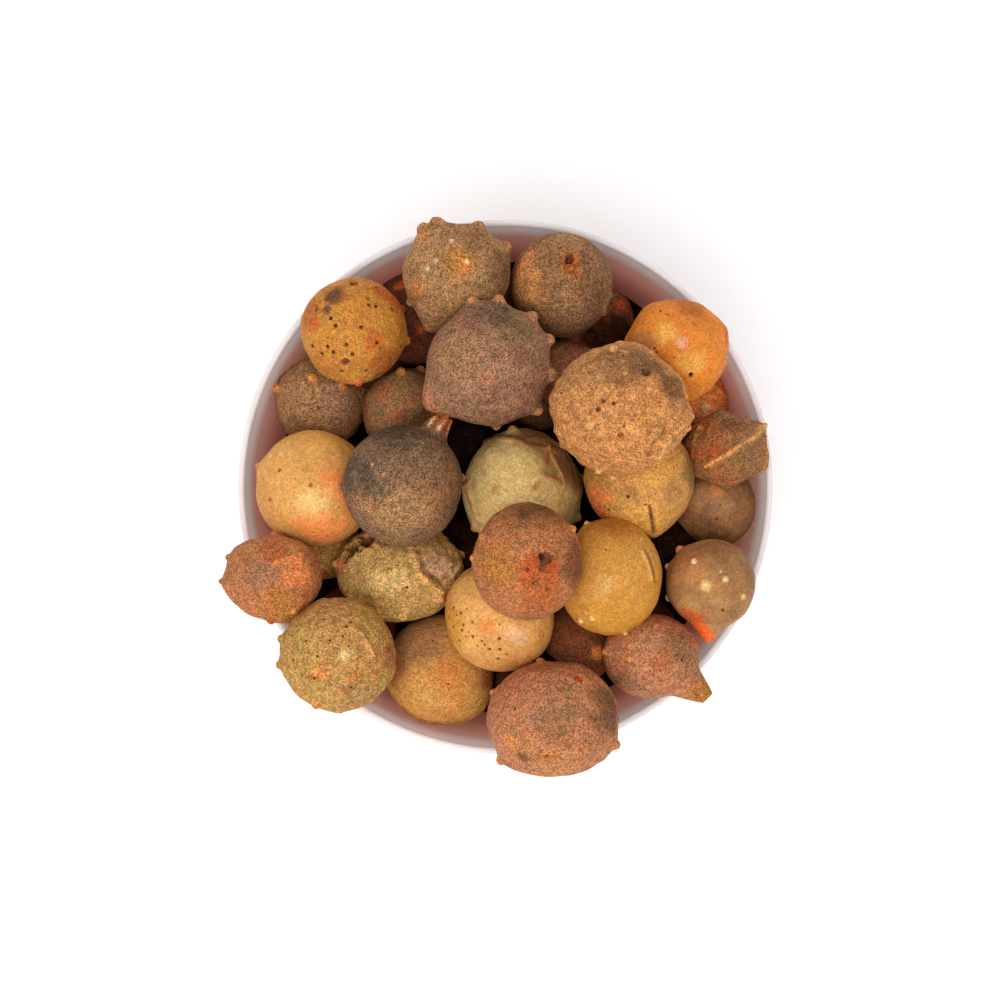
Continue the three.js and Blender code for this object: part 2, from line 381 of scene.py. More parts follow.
@dataclass(frozen=True)
class SkinFinish:
    """One kind of gall skin. Its tones lie on the mesh, and the rest is grown over them."""

    label: str
    grain_mm: float
    grain_shade: float
    grain_hue: float
    grain_depth_mm: float
    mottle_mm: float
    swirl: float
    warm: Tone
    warm_share: float
    dark: Tone
    dark_share: float
    pore_mm: float
    pore_share: float
    fleck: Tone
    fleck_mm: float
    fleck_share: float
    smoothest: float
    roughest: float
    specular: float
    pore: Tone = Tone.SOOT

    def material(self, effects: Effects) -> bpy.types.Material:
        """Builds the skin's material.

        Args:
            effects: the shared shader groups.

        Returns:
            The material, which reads the tones from the mesh.
        """
        made, graph, shader = new_material("skin_" + self.label)
        place = graph.node("TexCoord").outputs["Object"]
        tone = graph.node("Attribute", attribute_name=TONE_LAYER).outputs["Color"]
        crust = graph.node("Attribute", attribute_name=CRUST_LAYER).outputs["Fac"]
        grain = self.placed(
            graph, effects.grain, place, self.grain_mm, Contrast=self.grain_shade, Hue=self.grain_hue
        )
        mottle = self.placed(graph, effects.mottle, place, self.mottle_mm, Swirl=self.swirl)
        pores = self.placed(graph, effects.pores, place, self.pore_mm, Share=self.pore_share)
        flecks = self.placed(graph, effects.pores, place, self.fleck_mm, Share=self.fleck_share)
        warmth = graph.maths("MULTIPLY", mottle.outputs["Warm"], self.warm_share)
        darkness = graph.maths("MULTIPLY", mottle.outputs["Dark"], self.dark_share)
        colour = graph.mix(warmth, tone, self.warm.rgba())
        colour = graph.mix(darkness, colour, self.dark.rgba())
        flecked = graph.maths("MULTIPLY", flecks.outputs["Mask"], FLECK_STRENGTH)
        colour = graph.mix(flecked, colour, self.fleck.rgba())
        colour = graph.mix(1.0, colour, grain.outputs["Shade"], "MULTIPLY")
        pitted = graph.maths("MULTIPLY", pores.outputs["Mask"], PORE_DARKNESS)
        colour = graph.mix(pitted, colour, self.pore.rgba())
        graph.feed(shader.inputs["Base Color"], colour)
        rough = graph.ramp(grain.outputs["Height"], 0.0, 1.0, self.roughest, self.smoothest)
        crusty = graph.maths("MULTIPLY_ADD", crust, CRUST_ROUGHNESS)
        graph.feed(crusty.node.inputs[2], rough)
        graph.feed(shader.inputs["Roughness"], crusty)
        shader.inputs["Specular IOR Level"].default_value = self.specular
        sunk = graph.maths("SUBTRACT", grain.outputs["Height"], pores.outputs["Mask"])
        graph.feed(shader.inputs["Normal"], graph.bump(sunk, self.grain_depth_mm))
        return made

    def placed(
        self, graph: Graph, tree: bpy.types.NodeTree, place: object, size_mm: float, **values: float
    ) -> bpy.types.Node:
        """Places a shared group.

        Args:
            graph: the material's graph.
            tree: the group.
            place: the coordinates it reads.
            size_mm: the size of what it makes.
            values: its other inputs.

        Returns:
            The group's node.
        """
        made = graph.node("Group", node_tree=tree)
        graph.feed(made.inputs["Vector"], place)
        made.inputs["Fineness"].default_value = 1 / (size_mm * MM)
        for name, value in values.items():
            made.inputs[name].default_value = value
        return made


TONE_LAYER = "skin_tone"
CRUST_LAYER = "skin_crust"
PORE_DARKNESS = 0.75
FLECK_STRENGTH = 0.6
CRUST_ROUGHNESS = 0.2


class Skin(Enum):
    """The kinds of skin. All galls of one kind are one piece."""

    FELTED = SkinFinish(
        "felted", 0.26, 0.56, 0.34, 0.04, 3.0, 0.0, Tone.CORK, 0.3, Tone.CINDER, 0.3,
        1.6, 0.03, Tone.AMBER, 2.2, 0.1, 0.68, 0.92, 0.14,
    )
    BLUSHED = SkinFinish(
        "blushed", 0.26, 0.48, 0.36, 0.04, 2.2, 0.3, Tone.RUST, 0.32, Tone.OLIVE, 0.34,
        1.5, 0.04, Tone.EMBER, 1.6, 0.16, 0.62, 0.88, 0.16,
    )
    WAXY = SkinFinish(
        "waxy", 0.34, 0.19, 0.18, 0.03, 2.2, 1.0, Tone.ORANGE, 0.26, Tone.SADDLE, 0.26,
        1.1, 0.08, Tone.CREAM, 2.0, 0.06, 0.55, 0.82, 0.15, Tone.BARK,
    )
    WARTY = SkinFinish(
        "warty", 0.3, 0.42, 0.26, 0.06, 1.5, 0.4, Tone.AMBER, 0.25, Tone.UMBER, 0.42,
        1.2, 0.14, Tone.ORANGE, 1.7, 0.12, 0.62, 0.9, 0.16,
    )
    MOTTLED = SkinFinish(
        "mottled", 0.32, 0.28, 0.22, 0.04, 1.9, 1.6, Tone.ORANGE, 0.34, Tone.UMBER, 0.34,
        1.3, 0.14, Tone.RUST, 1.5, 0.12, 0.58, 0.84, 0.16,
    )
    SPECKLED = SkinFinish(
        "speckled", 0.3, 0.3, 0.22, 0.035, 1.5, 1.4, Tone.EMBER, 0.36, Tone.UMBER, 0.3,
        2.1, 0.55, Tone.EMBER, 1.4, 0.3, 0.58, 0.84, 0.16, Tone.WINE,
    )
    # For the galls seen only in the gaps: its soot mottle darkens them as painted shade.
    SHADED = SkinFinish(
        "shaded", 0.3, 0.4, 0.25, 0.04, 2.0, 0.3, Tone.WINE, 0.15, Tone.SOOT, 0.3,
        1.5, 0.05, Tone.RUSSET, 1.9, 0.03, 0.7, 0.92, 0.06,
    )


@dataclass(frozen=True)
class GlazeFinish:
    """White glaze with a pink cast on thin porcelain that lets light through.

    Inside, the glaze is painted darker from the lip down, as painted shade of the deep wall among the galls:
    each painted shade is a tone, and how far below the lip it begins and is full, in mm.
    """

    cloud_mm: float = 22.0
    wave_mm: float = 9.0
    wave_depth_mm: float = 0.05
    smoothest: float = 0.14
    roughest: float = 0.28
    bare_mm: tuple[float, float] = (0.3, 0.8)
    bare_roughness: float = 0.5
    coat: float = 0.35
    coat_roughness: float = 0.08
    glow: float = 0.9
    glow_reach_mm: float = 9.0
    glow_colour: tuple[float, float, float] = (1.0, 0.88, 0.86)
    # Painted shade of the inner wall: rose, then clay, then brown, deeper below the lip.
    painted_shades: tuple[tuple[Tone, float, float], ...] = (
        (Tone.ROSE, 0.2, 4.0), (Tone.CLAY, 3.5, 9.0), (Tone.WALL_SHADE, 9.0, 18.0),
    )

    def material(self) -> bpy.types.Material:
        """Builds the glaze.

        Returns:
            The material, bare and matt where the foot stands.
        """
        made, graph, shader = new_material("white_glaze")
        place = graph.node("TexCoord").outputs["Object"]
        cloud = graph.node("TexNoise", {"Vector": place, "Scale": 1 / (self.cloud_mm * MM), "Detail": 3.0})
        thin = graph.ramp(cloud.outputs["Fac"], 0.35, 0.65)
        glazed = graph.mix(thin, Tone.PORCELAIN.rgba(), Tone.BLUSH.rgba())
        depth = graph.node("Attribute", attribute_name=DEPTH_LAYER).outputs["Fac"]
        # Painted shade: the inner wall darkens with depth below the lip.
        for tone, start, end in self.painted_shades:
            glazed = graph.mix(graph.ramp(depth, start, end), glazed, tone.rgba())
        height = graph.node("SeparateXYZ", {0: place}).outputs["Z"]
        bare = graph.ramp(height, *(edge * MM for edge in self.bare_mm), 1.0, 0.0)
        graph.feed(shader.inputs["Base Color"], graph.mix(bare, glazed, Tone.BISQUE.rgba()))
        rough = graph.ramp(cloud.outputs["Fac"], 0.3, 0.7, self.smoothest, self.roughest)
        worn = graph.maths("MULTIPLY_ADD", bare, self.bare_roughness)
        graph.feed(worn.node.inputs[2], rough)
        graph.feed(shader.inputs["Roughness"], worn)
        shader.inputs["Coat Weight"].default_value = self.coat
        shader.inputs["Coat Roughness"].default_value = self.coat_roughness
        shader.inputs["Subsurface Weight"].default_value = self.glow
        shader.inputs["Subsurface Radius"].default_value = self.glow_colour
        shader.inputs["Subsurface Scale"].default_value = self.glow_reach_mm * MM
        waves = graph.node("TexNoise", {"Vector": place, "Scale": 1 / (self.wave_mm * MM), "Detail": 1.0})
        graph.feed(shader.inputs["Normal"], graph.bump(waves.outputs["Fac"], self.wave_depth_mm))
        return made


DEPTH_LAYER = "depth_below_lip"


# ---------------------------------------------------------------- smooth chance


def ripples(points: np.ndarray, pace: float, seed: int, count: int = 12) -> np.ndarray:
    """Adds up plane waves that run in seeded directions, which makes a smooth uneven field.

    Args:
        points: places, one to a row.
        pace: how fast the waves turn, in radians for each unit of length.
        seed: the draw.
        count: how many waves.

    Returns:
        One value a place, mostly between -1 and 1.
    """
    draw = np.random.default_rng(seed)
    ways = draw.normal(size=(3, count))
    ways *= pace * draw.uniform(0.6, 1.4, count) / np.linalg.norm(ways, axis=0)
    return np.sin(points @ ways + draw.uniform(0, math.tau, count)).sum(1) / math.sqrt(count)


def smooth_step(value: np.ndarray, start: float, end: float) -> np.ndarray:
    """Returns 0 before start and 1 after end, with a smooth rise or fall between them."""
    share = np.clip((value - start) / (end - start), 0, 1)
    return share * share * (3 - 2 * share)


def scattered(count: int, seed: int) -> np.ndarray:
    """Spreads directions evenly over a ball, each moved a little by chance.

    Args:
        count: how many.
        seed: the draw.

    Returns:
        One unit direction a row.
    """
    draw = np.random.default_rng(seed)
    step = np.arange(count) + draw.uniform(0.2, 0.8, count)
    level = 1 - 2 * step / count
    turn = step * math.pi * (3 - math.sqrt(5)) + draw.uniform(-0.35, 0.35, count)
    wide = np.sqrt(1 - level**2)
    return np.c_[wide * np.cos(turn), wide * np.sin(turn), level]


def direction_of(right: float, up: float) -> np.ndarray:
    """Returns the direction, on the upper side, that stands right and up of the centre in plan."""
    level = min(right**2 + up**2, 1)
    way = np.array([right, up, math.sqrt(1 - level)])
    return way / np.linalg.norm(way)


# ---------------------------------------------------------------- what grows on a gall


@dataclass
class Surface:
    """One gall's skin while it is shaped: directions, heights in mm, colours and crust."""

    ways: np.ndarray
    radius: float
    height: np.ndarray
    colour: np.ndarray
    crust: np.ndarray

    @property
    def places(self) -> np.ndarray:
        """Where the points lie on the plain ball, in mm from its centre."""
        return self.ways * self.radius

    def away(self, way: np.ndarray, tall: float = 1.0) -> np.ndarray:
        """Returns each point's distance in mm from where a direction leaves the skin.

        Args:
            way: the direction.
            tall: how many times as far it reaches up and down in plan as to the sides.
        """
        return self.radius * np.linalg.norm((self.ways - way) / (1, tall, 1), axis=1)

    def paint(self, tone: Tone, weight: np.ndarray) -> None:
        """Lays a tone over the skin, by a weight of 0 to 1 for each point."""
        weight = np.clip(weight, 0, 1)[:, None]
        self.colour += (np.array(tone.linear()) - self.colour) * weight


@dataclass(frozen=True)
class Knob:
    """A small horn: a low cone with a rounded nipple on it."""

    right: float
    up: float
    tone: Tone | None = None
    size: float = 1.0

    CONE_OUT = 0.5
    CONE_WIDE = 1.9
    NIPPLE_OUT = 0.62
    NIPPLE_WIDE = 0.72
    TIP_WIDE = 0.95
    TIP_SHADE = 0.85

    def grow(self, skin: Surface, way: np.ndarray, tone: Tone) -> None:
        """Raises and tips the horn.

        Args:
            skin: the gall's surface.
            way: where it stands.
            tone: its tip's tone, where the knob has none of its own.
        """
        away = skin.away(way) / self.size
        cone = np.exp(-((away / self.CONE_WIDE) ** 2)) * self.CONE_OUT
        nipple = np.exp(-((away / self.NIPPLE_WIDE) ** 4)) * self.NIPPLE_OUT
        skin.height += self.size * (cone + nipple)
        tipped = smooth_step(away, self.TIP_WIDE * 1.15, self.TIP_WIDE * 0.6)
        skin.paint(self.tone or tone, tipped * self.TIP_SHADE)


@dataclass(frozen=True)
class Corner:
    """A place where the gall runs out into a blunt corner."""

    right: float
    up: float
    out: float = 0.9
    wide: float = 3.2

    POINTEDNESS = 1.4

    def grow(self, skin: Surface) -> None:
        """Pulls the skin out into the corner."""
        away = skin.away(direction_of(self.right, self.up))
        skin.height += self.out * np.exp(-((away / self.wide) ** self.POINTEDNESS))


@dataclass(frozen=True)
class Facet:
    """A place where the gall is flattened, by so many mm at its middle."""

    right: float
    up: float
    deep: float = 0.5

    def grow(self, skin: Surface) -> None:
        """Cuts the skin off at a plane, with soft edges."""
        lean = skin.ways @ direction_of(self.right, self.up)
        limit = (skin.radius - self.deep) / np.maximum(lean, 0.1) - skin.radius
        skin.height = -np.logaddexp(-skin.height * FACET_EDGE, -limit * FACET_EDGE) / FACET_EDGE


FACET_EDGE = 3.0


@dataclass(frozen=True)
class Stalk:
    """A beak or a stub of stalk: a flared root that narrows to a blunt end."""

    right: float
    up: float
    out: float
    base: float
    tip: float
    tone: Tone = Tone.RUST
    frayed: float = 0.0

    RISE = 1.8
    FRAY_PACE = 4.5
    CRUMB_PACE = 3.6
    SHADE = 0.85
    CRUMB_SHADE = 0.8

    def grow(self, skin: Surface, seed: int) -> None:
        """Draws the stalk out of the skin and tints its end.

        Args:
            skin: the gall's surface.
            seed: the draw for its frayed end.
        """
        away = skin.away(direction_of(self.right, self.up))
        share = np.clip((self.base * STALK_FLARE - away) / (self.base * STALK_FLARE - self.tip * 0.5), 0, 1)
        fray = ripples(skin.places, self.FRAY_PACE, seed) * self.frayed * share**3
        skin.height += self.out * share**self.RISE + fray
        skin.paint(self.tone, smooth_step(share, 0.35, 0.8) * self.SHADE)
        if self.frayed:
            crumbs = ripples(skin.places, self.CRUMB_PACE, seed + 1)
            end = smooth_step(share, 0.4, 0.7) * self.CRUMB_SHADE
            skin.paint(Tone.CREAM, smooth_step(crumbs, 0.5, 1.1) * end)
            skin.paint(Tone.BARK, smooth_step(crumbs, -0.6, -1.2) * end)
            skin.crust += share**2


STALK_FLARE = 1.55


@dataclass(frozen=True)
class Pit:
    """A hole, prick or crater with a low rim."""

    right: float
    up: float
    wide: float = 0.35
    deep: float = 0.35
    rim: float = 0.05
    tone: Tone = Tone.SOOT
    ragged: float = 0.0
    tall: float = 1.0

    EDGE_PACE = 3.2
    SHADE = 0.95

    def grow(self, skin: Surface, seed: int) -> None:
        """Sinks the pit and tints its inside.

        Args:
            skin: the gall's surface.
            seed: the draw for a ragged edge.
        """
        away = skin.away(direction_of(self.right, self.up), self.tall)
        away = away + ripples(skin.places, self.EDGE_PACE, seed) * self.ragged * self.wide
        skin.height -= self.deep * smooth_step(away, self.wide, self.wide * 0.45)
        skin.height += self.rim * np.exp(-(((away - self.wide * 1.25) / (self.wide * 0.45)) ** 2))
        # The inside takes the pit's tone. A soot inside is painted shade in the hole; wine and loam insides
        # are partly the hollow's own brown and partly painted shade; rust and ember are the skin's own
        # colour.
        skin.paint(self.tone, smooth_step(away, self.wide * 1.1, self.wide * 0.6) * self.SHADE)
        skin.crust += smooth_step(away, self.wide * 1.4, self.wide)


@dataclass(frozen=True)
class Crease:
    """A ridge, or a groove where its height is below 0, along a bent line over the skin."""

    along: tuple[tuple[float, float], ...]
    high: float
    wide: float = 0.5
    tone: Tone | None = None
    shade: float = 0.7
    wander: float = 0.35

    WANDER_PACE = 1.6
    UNEVEN_PACE = 1.1
    UNEVENNESS = 0.35

    def grow(self, skin: Surface, seed: int) -> None:
        """Raises or cuts the line.

        Args:
            skin: the gall's surface.
            seed: the draw for how the line wanders.
        """
        ways = [direction_of(*point) for point in self.along]
        away = np.full(len(skin.ways), np.inf)
        for start, end in zip(ways, ways[1:]):
            run = end - start
            share = np.clip((skin.ways - start) @ run / (run @ run), 0, 1)
            near = start + share[:, None] * run
            near /= np.linalg.norm(near, axis=1)[:, None]
            away = np.minimum(away, skin.radius * np.linalg.norm(skin.ways - near, axis=1))
        away = away + ripples(skin.places, self.WANDER_PACE, seed) * self.wander * self.wide
        line = np.exp(-((away / self.wide) ** 2))
        uneven = self.UNEVENNESS * ripples(skin.places, self.UNEVEN_PACE, seed + 1)
        skin.height += self.high * line * (1 + uneven)
        # A tone along a groove is painted shade in it; along a ridge it is the skin's own colour.
        if self.tone:
            skin.paint(self.tone, line * self.shade)


@dataclass(frozen=True)
class Blot:
    """A patch of another tone with an uneven edge. Its size is in radii of the gall."""

    tone: Tone
    right: float
    up: float
    size: float
    shade: float = 0.8

    def grow(self, skin: Surface, seed: int) -> None:
        """Lays the patch.

        Args:
            skin: the gall's surface.
            seed: the draw for its edge.
        """
        away = skin.away(direction_of(self.right, self.up)) / skin.radius
        uneven = ripples(skin.ways, 5.0, seed) * 0.16 + ripples(skin.ways, 17.0, seed + 1) * 0.07
        inside = smooth_step(away + uneven * self.size * 2, self.size * 1.3, self.size * 0.45)
        skin.paint(self.tone, inside * self.shade)


# ---------------------------------------------------------------- the galls


@dataclass(frozen=True)
class Gall:
    """One gall: where it lies in plan, how large it is, and what grows on it, in mm and radii."""

    name: str
    at: tuple[float, ...]
    across: float
    skin: Skin = Skin.SHADED
    tone: Tone = Tone.RUSSET
    second: Tone = Tone.BARK
    stretch: tuple[float, float] = (1.0, 1.0)
    tip: Tone = Tone.ORANGE
    knobs: tuple[Knob, ...] = ()
    corners: tuple[Corner, ...] = ()
    facets: tuple[Facet, ...] = ()
    stalk: Stalk | None = None
    pits: tuple[Pit, ...] = ()
    creases: tuple[Crease, ...] = ()
    blots: tuple[Blot, ...] = ()
    warts: int = 0
    wart_mm: tuple[float, float] = (0.35, 0.8)
    lumps: float = 0.1
    wrinkles: float = 0.0
    hidden: bool = False
    fine: int = 6

    @property
    def radius(self) -> float:
        """The mean radius."""
        return self.across / 2

    @property
    def seed(self) -> int:
        """A draw of its own, from where it lies."""
        return int(1000 + 37 * self.at[0] + 91 * self.at[1]) % 100003

    def far_knobs(self) -> list[np.ndarray]:
        """Returns where knobs stand on the side that faces down, as thickly as on the upper one."""
        ways = scattered(2 * len(self.knobs), self.seed)
        return [way for way in ways if way[2] < FAR_SIDE] if self.knobs else []

    def marked_ways(self) -> list[tuple[np.ndarray, float]]:
        """Returns the places that need a finer mesh, each with its reach in mm."""
        places = [(direction_of(knob.right, knob.up), KNOB_REACH * knob.size) for knob in self.knobs]
        places += [(way, KNOB_REACH) for way in self.far_knobs()]
        for pit in self.pits:
            reach = max(pit.wide * max(pit.tall, 1) * PIT_REACH, LEAST_REACH)
            places.append((direction_of(pit.right, pit.up), reach))
        if self.stalk:
            places.append((direction_of(self.stalk.right, self.stalk.up), self.stalk.base * STALK_FLARE))
        return places

    def refined(self, form: bmesh.types.BMesh, start: int) -> list[bmesh.types.BMVert]:
        """Splits the faces at knobs, pits and the stalk.

        Args:
            form: the piece's mesh, in which this gall is still a unit ball at the origin.
            start: the number of corners before this gall's.

        Returns:
            This gall's corners.
        """
        for way, reach in self.marked_ways():
            form.verts.ensure_lookup_table()
            middle, limit = Vector(way), reach / self.radius
            near = {v for v in form.verts[start:] if (v.co - middle).length < limit}
            edges = list({e for v in near for e in v.link_edges if e.other_vert(v) in near})
            bmesh.ops.subdivide_edges(form, edges=edges, cuts=1, use_grid_fill=True)
        form.verts.ensure_lookup_table()
        return form.verts[start:]

    def surface(self, ways: np.ndarray) -> Surface:
        """Shapes and tints the skin.

        Args:
            ways: the unit directions of its corners.

        Returns:
            The finished surface.
        """
        count = len(ways)
        colour = np.tile(self.tone.linear(), (count, 1))
        skin = Surface(ways, self.radius, np.zeros(count), colour, np.zeros(count))
        seed = self.seed
        cloud = ripples(ways, 3.0, seed) + 0.6 * ripples(ways, 8.0, seed + 1)
        skin.paint(self.second, smooth_step(cloud, 0.1, 1.4) * SECOND_SHARE)
        skin.height += self.lumps * (ripples(ways, 3.5, seed + 2) + 0.5 * ripples(ways, 9.0, seed + 3))
        skin.height += LUMPY_MM * ripples(skin.places, LUMPY_PACE, seed + 4)
        for index, blot in enumerate(self.blots):
            blot.grow(skin, seed + 10 + index)
        for form in (*self.corners, *self.facets):
            form.grow(skin)
        self.wrinkle(skin)
        for index, crease in enumerate(self.creases):
            crease.grow(skin, seed + 40 + 2 * index)
        self.grow_warts(skin)
        for knob in self.knobs:
            knob.grow(skin, direction_of(knob.right, knob.up), self.tip)
        for way in self.far_knobs():
            Knob(0, 0).grow(skin, way, self.tip)
        if self.stalk:
            self.stalk.grow(skin, seed + 60)
        for index, pit in enumerate(self.pits):
            pit.grow(skin, seed + 70 + index)
        return skin

    def wrinkle(self, skin: Surface) -> None:
        """Folds the skin into low sharp ridges, coarse and fine."""
        for pace, share in WRINKLE_SHARES.items():
            fold = np.abs(ripples(skin.places, pace, self.seed + int(10 * pace)))
            skin.height += self.wrinkles * share * (WRINKLE_LEVEL - np.minimum(fold, WRINKLE_LIMIT))

    def grow_warts(self, skin: Surface) -> None:
        """Covers the skin with small tubercles of uneven size."""
        draw = np.random.default_rng(self.seed + 5)
        low, high = self.wart_mm
        for way in scattered(self.warts, self.seed + 6):
            wide = low + (high - low) * draw.random() ** 2
            bump = np.exp(-((skin.away(way) / wide) ** 2))
            skin.height += WART_HIGH * wide * bump
            skin.paint(self.tip, bump * draw.uniform(0.0, WART_SHADE))

    def add_to(self, form: bmesh.types.BMesh, centre: np.ndarray) -> tuple[np.ndarray, np.ndarray]:
        """Adds the gall to its piece.

        Args:
            form: the piece's mesh.
            centre: where the gall lies, in mm.

        Returns:
            The colours and the crust of its corners.
        """
        start = len(form.verts)
        bmesh.ops.create_icosphere(form, subdivisions=HIDDEN_FINE if self.hidden else self.fine, radius=1)
        corners = self.refined(form, start)
        ways = np.array([tuple(v.co) for v in corners])
        ways /= np.linalg.norm(ways, axis=1)[:, None]
        skin = self.surface(ways)
        phase = centre[0] + centre[1]
        swell = np.sin(SWELL_PACE[0] * ways[:, 0] + phase) + np.sin(SWELL_PACE[1] * ways[:, 1] - phase)
        reach = self.radius * (1 + SWELL * swell) + skin.height
        places = centre + ways * reach[:, None] * (*self.stretch, 1.0)
        for corner, place in zip(corners, places * MM):
            corner.co = place
        return skin.colour, skin.crust


FAR_SIDE = -0.1
KNOB_REACH = 2.4
PIT_REACH = 1.8
LEAST_REACH = 0.8
HIDDEN_FINE = 5
SECOND_SHARE = 0.45
LUMPY_MM = 0.035
LUMPY_PACE = 2.2
WRINKLE_SHARES = {1.1: 0.6, 2.6: 0.4}
WRINKLE_LEVEL = 0.6
WRINKLE_LIMIT = 1.2
WART_HIGH = 0.3
WART_SHADE = 0.55
SWELL = 0.008
SWELL_PACE = (3, 4)
RIB_TURNS = (math.pi * 1.08, math.pi * 1.92)
RIB_ENDS = (0.25, 0.95)


def pricks(*places: tuple[float, float], wide: float = 0.26) -> tuple[Pit, ...]:
    """Returns small pricks at some places, all of one width, their insides painted black as painted shade."""
    return tuple(Pit(right, up, wide, 0.3, 0.02) for right, up in places)


def horns(*places: tuple[float, float], tone: Tone | None = None, size: float = 1.0) -> tuple[Knob, ...]:
    """Returns knobs at some places, all of one tone and size."""
    return tuple(Knob(right, up, tone, size) for right, up in places)


def rusty_pits(*places: tuple[float, float], wide: float = 0.45, tone: Tone = Tone.RUST) -> tuple[Pit, ...]:
    """Returns shallow tinted craters with a low rim at some places."""
    return tuple(Pit(right, up, wide, 0.22, 0.12, tone) for right, up in places)


def corners(*places: tuple[float, float], out: float, wide: float) -> tuple[Corner, ...]:
    """Returns blunt corners at some places, all of one height and width."""
    return tuple(Corner(right, up, out, wide) for right, up in places)


def crater_ribs(centre: tuple[float, float], reach: tuple[float, float], count: int) -> tuple[Crease, ...]:
    """Returns the ribs that run down the lower half of a broken crown.

    Args:
        centre: the crater's middle.
        reach: its half width and half height, in radii of the gall.
        count: how many ribs.
    """
    ribs = []
    for turn in np.linspace(*RIB_TURNS, count):
        inner, outer = (
            (centre[0] + reach[0] * part * math.cos(turn), centre[1] + reach[1] * part * math.sin(turn))
            for part in RIB_ENDS
        )
        ribs.append(Crease((inner, outer), 0.32, 0.2, Tone.AMBER, 0.7, 0.2))
    return tuple(ribs)


